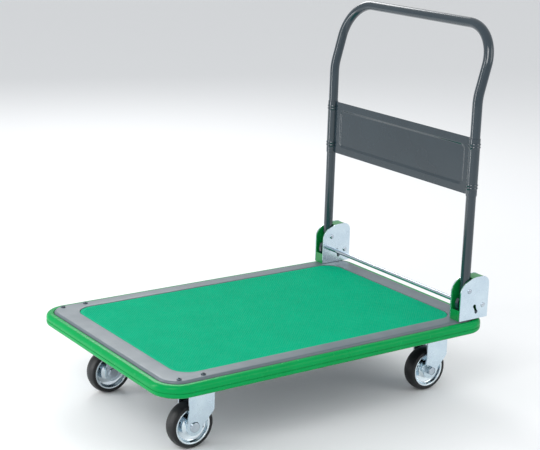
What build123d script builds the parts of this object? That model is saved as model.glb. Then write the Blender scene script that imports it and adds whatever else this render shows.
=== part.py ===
"""Folding platform cart, in millimetres.

+Z is up and +X points to the push handle. The origin is on the floor, under the middle of
the deck. Left and right are the pusher's own: left is -Y, right is +Y.
"""
from build123d import *
import math
import os

# Deck: a pressed steel tray, open below, with a sunk field for the mat
DECK_LENGTH = 805.0
DECK_WIDTH = 528.0
DECK_TOP = 186.0
DECK_CORNER_R = 42.0
DECK_EDGE_R = 6.0
DECK_SHEET = 2.0
SKIRT_DEPTH = 28.0
MAT_BORDER_X = 45.0
MAT_BORDER_Y = 35.0
MAT_CORNER_R = 41.0
MAT_THICK = 2.5
MAT_SUNK = 0.5
MAT_GAP = 0.8

# Edge bumper: a soft strip bent round the skirt, its ends butted at one seam
BUMPER_OUT = 17.5
BUMPER_DROP = 4.0
BUMPER_HEIGHT = 26.0
BUMPER_TOP_R = 8.0
BUMPER_FOOT_R = 6.0
BUMPER_GROOVE = 1.4
BUMPER_GROOVE_H = 1.8
BUMPER_GROOVE_UP = 10.5
SEAM_X = 19.0
SEAM_WIDTH = 0.8

# Frame members below the deck
MEMBER_SHEET = 2.5
MEMBER_WIDTH = 102.0
MEMBER_END_GAP = 12.0
RAIL_WIDTH = 40.0
RAIL_DEPTH = 30.0
RAIL_SHEET = 2.0
RAIL_IN = 63.0

# Wheels
WHEEL_R = 50.0
TYRE_WIDTH = 32.0
TYRE_THICK = 13.0
RIM_LIP_OUT = 2.6
RIM_SHEET = 1.8
RIM_DISH_IN = 13.0
RIM_DISH_Y = 8.5
RIM_HOLE_R = 2.5
RIM_HOLE_IN = 8.5
RIM_HOLES = 2
RIM_HOLE_TURN = 20.0
HUB_R = 11.5
AXLE_R = 6.0
WHEEL_FRONT_IN = 102.5
WHEEL_REAR_IN = 77.5
WHEEL_SIDE_IN = 91.0

# Casters
CASTER_HEIGHT = 138.0
CASTER_PLATE_X = 105.0
CASTER_PLATE_Y = 85.0
CASTER_PLATE_R = 8.0
CASTER_SHEET = 3.0
CASTER_BOLT_X = 80.0
CASTER_BOLT_Y = 60.0
TRAIL = 20.0
FORK_GAP = 38.0
FORK_SHEET = 2.8
FORK_FRONT = 12.0
FORK_REAR = 47.0
FORK_SHOULDER_Z = 79.0
FORK_TIP_R = 19.0
AXLE_HEAD_R = 11.5
AXLE_HEAD_H = 3.0
BALL_R = 2.5
BALL_PITCH_R = 19.5
BALLS = 18
RACE_DEPTH = 4.5
CROWN_R = 26.0
KINGPIN_R = 6.0
KINGPIN_HEAD_R = 10.5
KINGPIN_HEAD_H = 3.0

# Handle: one bent tube, pivoted low on a shaft across the deck
PIVOT_IN = 43.5
PIVOT_UP = 35.5
POST_IN = 11.8
TUBE_R = 11.0
TUBE_WALL = 1.5
TUBE_FOOT_UP = 14.0
KICK_Z = 680.0
KICK_BEND_R = 120.0
KICK_BACK = 42.0
TOP_BAR_Z = 830.0
HANDLE_CORNER_R = 84.0
SHAFT_R = 5.0
BUSH_WALL = 2.0
BUSH_FLANGE_OUT = 2.0
BUSH_FLANGE = 1.0
BOSS_WALL = 3.0
CAM_R = 22.0
CAM_THICK = 8.0
SPIGOT_LENGTH = 35.0
FOLD_ANGLE = 90.0

# Brackets: a painted channel between two plated cheeks
BRACKET_LENGTH = 82.0
BRACKET_AHEAD = 25.0
BRACKET_HEIGHT = 97.0
POST_GAP = 1.3
CHEEK_SHEET = 2.3
CHANNEL_SHEET = 2.0
CHANNEL_INSET = 0.8
CHEEK_LIFT = 0.6
NOSE_LENGTH = 52.0
NOSE_HEIGHT = 33.0
HEEL_R = 19.0
RIVET_UP = (0.0, 31.4)
RIVET_BACK = (42.0, -6.0)
RIVET_R = 3.0
RIVET_HEAD_R = 5.6
RIVET_HEAD_H = 2.6
BRACKET_BOLT_X = (-16.0, 6.0)

# Lock pins: each slides in an eight-shaped slot and enters a notch in the handle's cam
LOCKED = (17.6, -5.7)
RELEASED = (23.3, -19.0)
LOCK_PIN_R = 3.0
LOCK_LOBE_R = 4.2
LOCK_PROUD = 1.2

# Back panel between the handle's posts
PANEL_LOW = 467.0
PANEL_HIGH = 593.0
PANEL_SHEET = 1.2
PANEL_FIELD_INSET = 17.0
PANEL_FIELD_DEPTH = 2.4
PANEL_FIELD_R = 12.0
PANEL_BEAD_UP = (16.0, 106.0)
PANEL_BEAD_H = 9.0
PANEL_BEAD_OUT = 1.3

# Fasteners
M8_R = 4.0
M8_HEAD_H = 4.6
M8_NUT_AF = 13.0
M8_NUT_H = 6.5
M6_R = 3.0
M6_HEAD_R = 5.5
M6_HEAD_H = 3.4
M6_NUT_AF = 10.0
M6_NUT_H = 5.0
M5_R = 2.5
M5_HEAD_R = 5.2
M5_HEAD_H = 2.8
M5_NUT_AF = 8.0
M5_NUT_H = 4.0
M12_NUT_AF = 18.0
M12_NUT_H = 9.0
HEX_RECESS_AF = 5.0
THREAD_PROUD = 2.0
DECK_SCREW_BACK = (30.5, 85.5)
DECK_SCREW_IN = 14.0

# Clearances
RUNNING = 0.05
HOLE_CLEAR = 0.3
SWIVEL_CLEAR = 0.3
STOP_CLEAR = 0.5
SIDE_CLEAR = 0.3
LOCK_CLEAR = 0.4
PRESS_CLEAR = 0.05

# Places that follow from the sizes above
LEFT = -1
RIGHT = 1
SIDES = {"left": LEFT, "right": RIGHT}
RECESS_DEPTH = MAT_THICK + MAT_SUNK
FIELD_LENGTH = DECK_LENGTH - 2 * MAT_BORDER_X
FIELD_WIDTH = DECK_WIDTH - 2 * MAT_BORDER_Y
DECK_UNDER = DECK_TOP - DECK_SHEET
FIELD_UNDER = DECK_UNDER - RECESS_DEPTH
PIVOT_X = DECK_LENGTH / 2 - PIVOT_IN
PIVOT_Z = DECK_TOP + PIVOT_UP
PIVOT = (PIVOT_X, 0, PIVOT_Z)
HANDLE_Y = DECK_WIDTH / 2 - POST_IN
TOP_BAR_X = PIVOT_X + KICK_BACK
CHANNEL_GAP = 2 * (TUBE_R + POST_GAP)
CHANNEL_WIDTH = CHANNEL_GAP + 2 * CHANNEL_SHEET
BRACKET_WIDTH = CHANNEL_WIDTH + 2 * CHEEK_SHEET
BRACKET_FRONT_X = PIVOT_X - BRACKET_AHEAD
BUSH_R = SHAFT_R + BUSH_WALL
BUSH_FLANGE_R = BUSH_R + BUSH_FLANGE_OUT
BOSS_R = BUSH_R + BOSS_WALL
RIM_SEAT_R = WHEEL_R - TYRE_THICK
RIM_LIP_R = RIM_SEAT_R + RIM_LIP_OUT
RIM_DISH_R = RIM_SEAT_R - RIM_DISH_IN
RIM_HOLE_PITCH_R = RIM_SEAT_R - RIM_HOLE_IN
WHEEL_FRONT_X = WHEEL_FRONT_IN - DECK_LENGTH / 2
WHEEL_REAR_X = DECK_LENGTH / 2 - WHEEL_REAR_IN
WHEEL_Y = DECK_WIDTH / 2 - WHEEL_SIDE_IN
RAIL_Y = WHEEL_Y - RAIL_IN
FRONT_WALL_TOP = PIVOT_Z - TUBE_R - STOP_CLEAR
STRAP_FRONT_X = PIVOT_X + TUBE_R + STOP_CLEAR
PLATE_UNDER = CASTER_HEIGHT - CASTER_SHEET
WEB_TOP = CASTER_HEIGHT + MEMBER_SHEET
FRONT_PLATE_X = WHEEL_FRONT_X + TRAIL
REAR_PLATE_X = WHEEL_REAR_X + TRAIL
FORK_OUT = FORK_GAP / 2 + FORK_SHEET
CROWN_TOP = PLATE_UNDER - RACE_DEPTH
CROWN_UNDER = CROWN_TOP - CASTER_SHEET


def slab(face, y_low, y_high):
    """Extrude a face drawn in X and Z between two values of Y."""
    plane = Plane(origin=(0, y_high, 0), x_dir=(1, 0, 0), z_dir=(0, -1, 0))
    return extrude(plane * face, amount=y_high - y_low)


def disc(radius, low, high, x=0.0, y=0.0):
    """An upright cylinder between two heights."""
    return Pos(x, y, (low + high) / 2) * Cylinder(radius, high - low)


def rod(radius, y_low, y_high, x=0.0, z=0.0):
    """A cylinder along Y between two values of Y."""
    turned = Rot(90, 0, 0) * Cylinder(radius, y_high - y_low)
    return Pos(x, (y_low + y_high) / 2, z) * turned


def rounded_block(length, width, corner_r, low, high):
    """A block with rounded upright corners, centred on the Z axis."""
    plan = Pos(0, 0, low) * RectangleRounded(length, width, corner_r)
    return extrude(plan, amount=high - low)


def hexagon(across_flats, low, high, x=0.0, y=0.0):
    """An upright hexagonal prism."""
    plan = Pos(x, y, low) * RegularPolygon(across_flats / 2, 6, major_radius=False)
    return extrude(plan, amount=high - low)


def across_y(part, x, y, z, side):
    """Turn an upright part so that its +Z points outwards on one side, and place it."""
    return Pos(x, y, z) * Rot(-90 * side, 0, 0) * part


def about_pivot(part, degrees):
    """Turn a part about the handle's pivot, forwards for a positive angle."""
    return Pos(*PIVOT) * Rot(0, -degrees, 0) * Pos(-PIVOT_X, 0, -PIVOT_Z) * part


def save(name, part):
    """Write one node as a STEP file."""
    export_step(part, f"parts/{name}.step")


# ---- deck, mat and bumper ----

def deck_pan():
    """The tray: rounded rim, skirt, and the sunk field that holds the mat."""
    low = DECK_TOP - SKIRT_DEPTH
    outer = rounded_block(DECK_LENGTH, DECK_WIDTH, DECK_CORNER_R, low, DECK_TOP)
    outer = fillet(outer.edges().group_by(Axis.Z)[-1], DECK_EDGE_R)
    inner = rounded_block(DECK_LENGTH - 2 * DECK_SHEET, DECK_WIDTH - 2 * DECK_SHEET,
                          DECK_CORNER_R - DECK_SHEET, low, DECK_UNDER)
    inner = fillet(inner.edges().group_by(Axis.Z)[-1], DECK_EDGE_R - DECK_SHEET)
    tray = rounded_block(FIELD_LENGTH + 2 * DECK_SHEET, FIELD_WIDTH + 2 * DECK_SHEET,
                         MAT_CORNER_R + DECK_SHEET, FIELD_UNDER, DECK_UNDER + DECK_SHEET / 2)
    recess = rounded_block(FIELD_LENGTH, FIELD_WIDTH, MAT_CORNER_R,
                           DECK_TOP - RECESS_DEPTH, DECK_TOP)
    pan = outer - inner + tray - recess
    for x, y in deck_screw_places():
        pan -= disc(M5_R + HOLE_CLEAR, DECK_UNDER, DECK_TOP, x, y)
    for x, y in bracket_bolt_places():
        pan -= disc(M6_R + HOLE_CLEAR, DECK_UNDER, DECK_TOP, x, y)
    return pan


def anti_slip_mat():
    """The rubber mat that lies in the sunk field."""
    return rounded_block(FIELD_LENGTH - 2 * MAT_GAP, FIELD_WIDTH - 2 * MAT_GAP,
                         MAT_CORNER_R - MAT_GAP, DECK_TOP - RECESS_DEPTH, DECK_TOP - MAT_SUNK)


def bumper_ring(inset, low, high):
    """A block as large as the bumper's outside, less an inset."""
    grow = 2 * (BUMPER_OUT - inset)
    return rounded_block(DECK_LENGTH + grow, DECK_WIDTH + grow,
                         DECK_CORNER_R + BUMPER_OUT - inset, low, high)


def edge_bumper():
    """The strip round the skirt: rounded nose, one groove, one butt seam."""
    high = DECK_TOP - BUMPER_DROP
    low = high - BUMPER_HEIGHT
    ring = bumper_ring(0, low, high)
    ring = fillet(ring.edges().group_by(Axis.Z)[-1], BUMPER_TOP_R)
    ring = fillet(ring.edges().group_by(Axis.Z)[0], BUMPER_FOOT_R)
    groove_low = low + BUMPER_GROOVE_UP
    groove_high = groove_low + BUMPER_GROOVE_H
    groove = bumper_ring(-1, groove_low, groove_high)
    ring -= groove - bumper_ring(BUMPER_GROOVE, groove_low, groove_high)
    ring -= rounded_block(DECK_LENGTH, DECK_WIDTH, DECK_CORNER_R, low, high)
    seam_y = -(DECK_WIDTH + BUMPER_OUT) / 2
    return ring - Pos(SEAM_X, seam_y, low) * Box(SEAM_WIDTH, 2 * BUMPER_OUT, 3 * BUMPER_HEIGHT)


def deck_screw_places():
    reach_y = DECK_WIDTH / 2 - DECK_SCREW_IN
    return [(back - DECK_LENGTH / 2, y) for back in DECK_SCREW_BACK for y in (-reach_y, reach_y)]


def deck_screws():
    """Pan-head screws near the front corners, each with a hexagon recess."""
    screws = []
    for x, y in deck_screw_places():
        head = disc(M5_HEAD_R, DECK_TOP, DECK_TOP + M5_HEAD_H, x, y)
        head = fillet(head.edges().group_by(Axis.Z)[-1], M5_HEAD_H / 2)
        head -= hexagon(HEX_RECESS_AF, DECK_TOP + M5_HEAD_H / 3, DECK_TOP + M5_HEAD_H, x, y)
        shank = disc(M5_R, DECK_UNDER - M5_NUT_H - THREAD_PROUD, DECK_TOP, x, y)
        screws.append(head + shank)
    return Compound(children=screws)


def deck_screw_nuts():
    return nuts(deck_screw_places(), M5_NUT_AF, M5_R, DECK_UNDER - M5_NUT_H, DECK_UNDER)


def nuts(places, across_flats, bore_r, low, high):
    """Hexagon nuts on upright screws."""
    made = []
    for x, y in places:
        nut = hexagon(across_flats, low, high, x, y)
        made.append(nut - disc(bore_r, low, high, x, y))
    return Compound(children=made)


# ---- frame members ----

def cross_member(centre_x, king_holes):
    """A channel across the deck, open above, that the casters bolt to."""
    length_y = FIELD_WIDTH - 2 * MEMBER_END_GAP
    outer = Pos(centre_x, 0, (CASTER_HEIGHT + DECK_UNDER) / 2)
    member = outer * Box(MEMBER_WIDTH, length_y, DECK_UNDER - CASTER_HEIGHT)
    inside = Pos(centre_x, 0, (WEB_TOP + DECK_UNDER) / 2)
    member -= inside * Box(MEMBER_WIDTH - 2 * MEMBER_SHEET, length_y, DECK_UNDER - WEB_TOP)
    member -= rounded_block(FIELD_LENGTH + 2 * DECK_SHEET, FIELD_WIDTH + 2 * DECK_SHEET,
                            MAT_CORNER_R + DECK_SHEET, FIELD_UNDER, DECK_TOP)
    for side in SIDES.values():
        for x, y in caster_bolt_places(centre_x, side):
            member -= disc(M8_R + HOLE_CLEAR, CASTER_HEIGHT, WEB_TOP, x, y)
        if king_holes:
            hole_r = KINGPIN_HEAD_R + 4 * SWIVEL_CLEAR
            member -= disc(hole_r, CASTER_HEIGHT, WEB_TOP, centre_x, side * WHEEL_Y)
    return member


def deck_rail(side):
    """A stiffening channel along the deck, between the two cross members."""
    front = FRONT_PLATE_X + MEMBER_WIDTH / 2
    rear = REAR_PLATE_X - MEMBER_WIDTH / 2
    middle = (front + rear) / 2
    low = FIELD_UNDER - RAIL_DEPTH
    rail = Pos(middle, side * RAIL_Y, (low + FIELD_UNDER) / 2)
    rail = rail * Box(rear - front, RAIL_WIDTH, RAIL_DEPTH)
    hollow = Pos(middle, side * RAIL_Y, (low + RAIL_SHEET + FIELD_UNDER) / 2)
    return rail - hollow * Box(rear - front, RAIL_WIDTH - 2 * RAIL_SHEET,
                               RAIL_DEPTH - RAIL_SHEET)


# ---- brackets ----

def bracket_outline(inset):
    """The side view of a bracket, or the same less an inset: long rounded nose, small heel."""
    front = BRACKET_FRONT_X + inset
    back = BRACKET_FRONT_X + BRACKET_LENGTH - inset
    foot = DECK_TOP + inset
    top = DECK_TOP + BRACKET_HEIGHT - inset
    nose_x = BRACKET_FRONT_X + NOSE_LENGTH
    nose_z = DECK_TOP + BRACKET_HEIGHT - NOSE_HEIGHT
    block = Pos((front + back) / 2, (foot + top) / 2)
    face = block * Rectangle(back - front, top - foot)
    corner = Pos((front + nose_x) / 2, (nose_z + top) / 2)
    corner = corner * Rectangle(nose_x - front, top - nose_z)
    corner -= Pos(nose_x, nose_z) * Ellipse(nose_x - front, top - nose_z)
    face -= corner
    heel = face.vertices().sort_by_distance(Vector(back, top, 0))[0]
    return fillet(heel, HEEL_R - inset)


def lock_slot(grow, y_low, y_high):
    """The eight-shaped slot: two lobes joined by a waist that the pin just passes."""
    lobes = []
    for dx, dz in (LOCKED, RELEASED):
        lobes.append(Pos(PIVOT_X + dx, PIVOT_Z + dz) * Circle(LOCK_LOBE_R + grow))
    return slab(lobes[0] + lobes[1] + pin_path(LOCK_PIN_R + LOCK_CLEAR / 2 + grow, 0),
                y_low, y_high)


def pin_path(half_width, overshoot):
    """A straight channel between the lock pin's two places, longer past the released one."""
    dx = RELEASED[0] - LOCKED[0]
    dz = RELEASED[1] - LOCKED[1]
    length = math.hypot(dx, dz)
    angle = math.degrees(math.atan2(dz, dx))
    centre = length / 2 + overshoot / 2
    start = Pos(PIVOT_X + LOCKED[0], PIVOT_Z + LOCKED[1])
    bar = start * Rot(0, 0, angle) * Pos(centre, 0)
    return bar * Rectangle(length + overshoot, 2 * half_width) + start * Circle(half_width)


def bracket_bolt_places():
    return [(PIVOT_X + dx, side * HANDLE_Y) for dx in BRACKET_BOLT_X for side in SIDES.values()]


def rivet_places():
    return [(PIVOT_X + dx, PIVOT_Z + dz) for dx, dz in (RIVET_UP, RIVET_BACK)]


def bracket_channel(side):
    """Floor, low front wall, back wall and top strap between two side walls."""
    middle = side * HANDLE_Y
    half = CHANNEL_WIDTH / 2
    gap = CHANNEL_GAP / 2
    outline = bracket_outline(CHANNEL_INSET)
    mouth_length = STRAP_FRONT_X - BRACKET_FRONT_X + CHANNEL_SHEET
    mouth_x = STRAP_FRONT_X - mouth_length / 2
    mouth_z = FRONT_WALL_TOP + BRACKET_HEIGHT / 2
    hollow = bracket_outline(CHANNEL_INSET + CHANNEL_SHEET)
    hollow += Pos(mouth_x, mouth_z) * Rectangle(mouth_length, BRACKET_HEIGHT)
    foot_x = BRACKET_FRONT_X + BRACKET_LENGTH / 2
    foot = Rectangle(BRACKET_LENGTH - 2 * CHANNEL_INSET, 2 * CHANNEL_INSET)
    outline += Pos(foot_x, DECK_TOP + CHANNEL_INSET) * foot
    channel = slab(outline, middle - half, middle + half) - slab(hollow, middle - gap, middle + gap)
    for x, y in bracket_bolt_places():
        channel -= disc(M6_R + HOLE_CLEAR, DECK_TOP, DECK_TOP + 2 * CHANNEL_SHEET, x, y)
    for x, z in rivet_places():
        channel -= rod(RIVET_R, middle - half, middle + half, x, z)
    channel -= rod(SHAFT_R + RUNNING, middle - half, middle + half, PIVOT_X, PIVOT_Z)
    return channel - lock_slot(LOCK_CLEAR, middle - half, middle + half)


def cheek(side, inner):
    """A plated side plate; the inner one also lets the pivot shaft through."""
    reach = -1 if inner else 1
    near = side * HANDLE_Y + side * reach * CHANNEL_WIDTH / 2
    far = near + side * reach * CHEEK_SHEET
    low, high = sorted((near, far))
    plate = slab(bracket_outline(0), low, high)
    plate = split(plate, Plane.XY.offset(DECK_TOP + CHEEK_LIFT), keep=Keep.TOP)
    for x, z in rivet_places():
        plate -= rod(RIVET_R, low, high, x, z)
    if inner:
        plate -= rod(SHAFT_R + RUNNING, low, high, PIVOT_X, PIVOT_Z)
    return plate - lock_slot(0, low, high)


def bracket_rivets():
    """Dome-head rivets, each through one cheek and one wall, flush inside."""
    rivets = []
    grip = CHEEK_SHEET + CHANNEL_SHEET
    dome_r = (RIVET_HEAD_R ** 2 + RIVET_HEAD_H ** 2) / (2 * RIVET_HEAD_H)
    dome = Pos(0, 0, RIVET_HEAD_H - dome_r) * Sphere(dome_r)
    dome = split(dome, Plane.XY, keep=Keep.TOP)
    rivet = dome + disc(RIVET_R, -grip, 0)
    for side in SIDES.values():
        for reach in (-1, 1):
            y = side * HANDLE_Y + reach * BRACKET_WIDTH / 2
            for x, z in rivet_places():
                rivets.append(across_y(rivet, x, y, z, reach))
    return Compound(children=rivets)


def bracket_bolts():
    """Button-head bolts that hold each channel's floor to the deck."""
    bolts = []
    seat = DECK_TOP + CHANNEL_SHEET + CHANNEL_INSET
    for x, y in bracket_bolt_places():
        head = disc(M6_HEAD_R, seat, seat + M6_HEAD_H, x, y)
        head = fillet(head.edges().group_by(Axis.Z)[-1], M6_HEAD_H / 2)
        head -= hexagon(HEX_RECESS_AF, seat + M6_HEAD_H / 2, seat + M6_HEAD_H, x, y)
        low = DECK_UNDER - M6_NUT_H - THREAD_PROUD
        bolts.append(head + disc(M6_R, low, seat, x, y))
    return Compound(children=bolts)


def bracket_bolt_nuts():
    return nuts(bracket_bolt_places(), M6_NUT_AF, M6_R, DECK_UNDER - M6_NUT_H, DECK_UNDER)


def pivot_shaft():
    """One bar across the deck that both handle feet turn on, held by the outer cheeks."""
    half = HANDLE_Y + CHANNEL_WIDTH / 2
    return rod(SHAFT_R, -half, half, PIVOT_X, PIVOT_Z)


# ---- handle ----

def handle_tube():
    """Two upright posts, kicked back near the top and joined by the grip bar."""
    foot_z = PIVOT_Z + TUBE_FOOT_UP
    route = [
        (PIVOT_X, -HANDLE_Y, foot_z),
        (PIVOT_X, -HANDLE_Y, KICK_Z),
        (TOP_BAR_X, -HANDLE_Y, TOP_BAR_Z),
        (TOP_BAR_X, HANDLE_Y, TOP_BAR_Z),
        (PIVOT_X, HANDLE_Y, KICK_Z),
        (PIVOT_X, HANDLE_Y, foot_z),
    ]
    radii = [KICK_BEND_R, HANDLE_CORNER_R, HANDLE_CORNER_R, KICK_BEND_R]
    path = FilletPolyline(*route, radius=radii)
    section = Plane(origin=path @ 0, z_dir=path % 0) * (Circle(TUBE_R) - Circle(TUBE_R - TUBE_WALL))
    return sweep(section, path=path)


def handle_foot(side):
    """Boss, cam disc with two lock notches, neck and the spigot inside the tube."""
    y = side * HANDLE_Y
    shoulder = PIVOT_Z + TUBE_FOOT_UP
    half = CHANNEL_GAP / 2 - BUSH_FLANGE - SIDE_CLEAR
    foot = rod(BOSS_R, y - half, y + half, PIVOT_X, PIVOT_Z)
    cam = rod(CAM_R, y - CAM_THICK / 2, y + CAM_THICK / 2, PIVOT_X, PIVOT_Z)
    foot += split(cam, Plane.XY.offset(shoulder), keep=Keep.BOTTOM)
    foot += disc(TUBE_R, PIVOT_Z, shoulder, PIVOT_X, y)
    spigot_r = TUBE_R - TUBE_WALL - PRESS_CLEAR
    foot += disc(spigot_r, shoulder, shoulder + SPIGOT_LENGTH, PIVOT_X, y)
    foot -= rod(BUSH_R, y - half, y + half, PIVOT_X, PIVOT_Z)
    notch = slab(pin_path(LOCK_PIN_R + LOCK_CLEAR, CAM_R), y - half, y + half)
    foot -= notch
    return foot - about_pivot(notch, -FOLD_ANGLE)


def foot_bushes():
    """Flanged bushes in the feet, two to each, running on the shaft."""
    bushes = []
    half = CHANNEL_GAP / 2 - BUSH_FLANGE - SIDE_CLEAR
    for side in SIDES.values():
        y = side * HANDLE_Y
        for reach in (-1, 1):
            low, high = sorted((y, y + reach * half))
            bush = rod(BUSH_R, low, high, PIVOT_X, PIVOT_Z)
            low, high = sorted((y + reach * half, y + reach * (half + BUSH_FLANGE)))
            bush += rod(BUSH_FLANGE_R, low, high, PIVOT_X, PIVOT_Z)
            bore_low, bore_high = sorted((y, y + reach * (half + BUSH_FLANGE)))
            bushes.append(bush - rod(SHAFT_R + RUNNING, bore_low, bore_high, PIVOT_X, PIVOT_Z))
    return Compound(children=bushes)


def back_panel():
    """A sheet rolled round both posts, with beads over the rolls and a pressed field."""
    height = PANEL_HIGH - PANEL_LOW
    middle_z = (PANEL_HIGH + PANEL_LOW) / 2
    roll_in = TUBE_R + PRESS_CLEAR
    roll_out = roll_in + PANEL_SHEET
    panel = Pos(PIVOT_X, 0, middle_z) * Box(PANEL_SHEET, 2 * HANDLE_Y, height)
    field_y = 2 * (HANDLE_Y - roll_out - PANEL_FIELD_INSET)
    field_z = height - 2 * PANEL_FIELD_INSET
    plane = Plane(origin=(PIVOT_X, 0, middle_z), x_dir=(0, 1, 0), z_dir=(1, 0, 0))
    pressed = plane * RectangleRounded(field_y + 2 * PANEL_SHEET, field_z + 2 * PANEL_SHEET,
                                       PANEL_FIELD_R + PANEL_SHEET)
    panel += extrude(pressed, amount=PANEL_FIELD_DEPTH + PANEL_SHEET / 2)
    hollow = plane.offset(-PANEL_SHEET) * RectangleRounded(field_y, field_z, PANEL_FIELD_R)
    panel -= extrude(hollow, amount=PANEL_FIELD_DEPTH + PANEL_SHEET / 2)
    for side in SIDES.values():
        y = side * HANDLE_Y
        panel += disc(roll_out, PANEL_LOW, PANEL_HIGH, PIVOT_X, y)
        for up in PANEL_BEAD_UP:
            low = PANEL_LOW + up
            bead = disc(roll_out + PANEL_BEAD_OUT, low, low + PANEL_BEAD_H, PIVOT_X, y)
            panel += chamfer(bead.edges(), PANEL_BEAD_OUT - PRESS_CLEAR)
        panel -= disc(roll_in, PANEL_LOW, PANEL_HIGH, PIVOT_X, y)
    return panel


def lock_pin(side):
    """A cross pin, resting in the slot's lower, released lobe."""
    half = BRACKET_WIDTH / 2 + LOCK_PROUD
    y = side * HANDLE_Y
    pin = rod(LOCK_PIN_R, y - half, y + half, PIVOT_X + RELEASED[0], PIVOT_Z + RELEASED[1])
    return chamfer(pin.edges().filter_by(GeomType.CIRCLE), LOCK_PROUD / 2)


# ---- casters ----

def caster_bolt_places(centre_x, side):
    half_x = CASTER_BOLT_X / 2
    half_y = CASTER_BOLT_Y / 2
    return [(centre_x + dx, side * WHEEL_Y + dy)
            for dx in (-half_x, half_x) for dy in (-half_y, half_y)]


def all_caster_bolt_places():
    places = []
    for centre_x in (FRONT_PLATE_X, REAR_PLATE_X):
        for side in SIDES.values():
            places += caster_bolt_places(centre_x, side)
    return places


def caster_bolts():
    """Hexagon bolts from below, through the caster plates and the members."""
    bolts = []
    for x, y in all_caster_bolt_places():
        head = hexagon(M8_NUT_AF, PLATE_UNDER - M8_HEAD_H, PLATE_UNDER, x, y)
        shank = disc(M8_R, PLATE_UNDER, WEB_TOP + M8_NUT_H + THREAD_PROUD, x, y)
        bolts.append(head + shank)
    return Compound(children=bolts)


def caster_nuts():
    return nuts(all_caster_bolt_places(), M8_NUT_AF, M8_R, WEB_TOP, WEB_TOP + M8_NUT_H)


def caster_plate(centre_x, side):
    """The flat top plate with its four bolt holes."""
    plate = rounded_block(CASTER_PLATE_X, CASTER_PLATE_Y, CASTER_PLATE_R,
                          PLATE_UNDER, CASTER_HEIGHT)
    plate = Pos(centre_x, side * WHEEL_Y, 0) * plate
    for x, y in caster_bolt_places(centre_x, side):
        plate -= disc(M8_R + HOLE_CLEAR, PLATE_UNDER, CASTER_HEIGHT, x, y)
    return plate


def fork_leg_face(wheel_x, top):
    """The leg's side view: wide shoulder above, round tip about the axle."""
    shoulder = Polygon((wheel_x - FORK_FRONT, top), (wheel_x + FORK_REAR, top),
                       (wheel_x + FORK_REAR - 3, FORK_SHOULDER_Z),
                       (wheel_x - FORK_FRONT - 3, FORK_SHOULDER_Z), align=None)
    tip = Pos(wheel_x, WHEEL_R) * Circle(FORK_TIP_R)
    return make_hull(shoulder.edges() + tip.edges())


def fork_legs(wheel_x, side, top):
    """Both legs of one fork, bored for the axle."""
    face = fork_leg_face(wheel_x, top)
    legs = []
    for reach in (-1, 1):
        near = side * WHEEL_Y + reach * FORK_GAP / 2
        low, high = sorted((near, near + reach * FORK_SHEET))
        leg = slab(face, low, high)
        legs.append(leg - rod(AXLE_R + RUNNING, low, high, wheel_x, WHEEL_R))
    return legs


def fixed_fork(side):
    """The front caster's one-piece plate and legs."""
    left_leg, right_leg = fork_legs(WHEEL_FRONT_X, side, PLATE_UNDER + CASTER_SHEET / 2)
    return caster_plate(FRONT_PLATE_X, side) + left_leg + right_leg


def swivel_plate(side):
    """The rear caster's top plate with the upper ball race pressed down round the king pin."""
    x = REAR_PLATE_X
    y = side * WHEEL_Y
    race_low = CROWN_TOP + SWIVEL_CLEAR
    plate = caster_plate(x, side)
    plate += disc(CROWN_R, race_low, PLATE_UNDER, x, y)
    plate -= disc(KINGPIN_R + RUNNING, race_low, CASTER_HEIGHT, x, y)
    groove = Torus(BALL_PITCH_R, BALL_R + SWIVEL_CLEAR)
    return plate - Pos(x, y, CROWN_TOP + BALL_R / 2) * groove


def swivel_fork(side):
    """The turning fork: crown with the lower race, and two legs."""
    x = REAR_PLATE_X
    y = side * WHEEL_Y
    crown = disc(CROWN_R, CROWN_UNDER, CROWN_TOP, x, y)
    bridge_x = WHEEL_REAR_X + (FORK_REAR - FORK_FRONT) / 2
    bridge = Pos(bridge_x, y, (CROWN_UNDER + CROWN_TOP) / 2)
    crown += bridge * Box(FORK_FRONT + FORK_REAR, 2 * FORK_OUT, CASTER_SHEET)
    left_leg, right_leg = fork_legs(WHEEL_REAR_X, side, CROWN_TOP)
    fork = crown + left_leg + right_leg
    fork -= disc(KINGPIN_R, CROWN_UNDER, CROWN_TOP, x, y)
    return fork - Pos(x, y, CROWN_TOP + BALL_R / 2) * Torus(BALL_PITCH_R, BALL_R)


def swivel_balls(side):
    """The ball ring between the two races."""
    balls = []
    for step in range(BALLS):
        turn = math.radians(step * 360 / BALLS)
        x = REAR_PLATE_X + BALL_PITCH_R * math.cos(turn)
        y = side * WHEEL_Y + BALL_PITCH_R * math.sin(turn)
        balls.append(Pos(x, y, CROWN_TOP + BALL_R / 2) * Sphere(BALL_R))
    return Compound(children=balls)


def kingpin(side):
    """The riveted pin that holds the fork up to its plate."""
    x = REAR_PLATE_X
    y = side * WHEEL_Y
    head_low = CASTER_HEIGHT + SWIVEL_CLEAR
    pin = disc(KINGPIN_R, CROWN_UNDER, head_low, x, y)
    pin += disc(KINGPIN_HEAD_R, head_low, head_low + KINGPIN_HEAD_H, x, y)
    foot = disc(KINGPIN_HEAD_R, CROWN_UNDER - KINGPIN_HEAD_H, CROWN_UNDER, x, y)
    return pin + fillet(foot.edges().group_by(Axis.Z)[0], KINGPIN_HEAD_H / 2)


def front_axles():
    """Riveted axles of the fixed casters, with wide round heads."""
    axles = []
    for side in SIDES.values():
        y = side * WHEEL_Y
        axle = rod(AXLE_R, y - FORK_OUT, y + FORK_OUT, WHEEL_FRONT_X, WHEEL_R)
        head = disc(AXLE_HEAD_R, 0, AXLE_HEAD_H)
        head = fillet(head.edges().group_by(Axis.Z)[-1], AXLE_HEAD_H / 2)
        for reach in (-1, 1):
            axle += across_y(head, WHEEL_FRONT_X, y + reach * FORK_OUT, WHEEL_R, reach)
        axles.append(axle)
    return Compound(children=axles)


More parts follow.
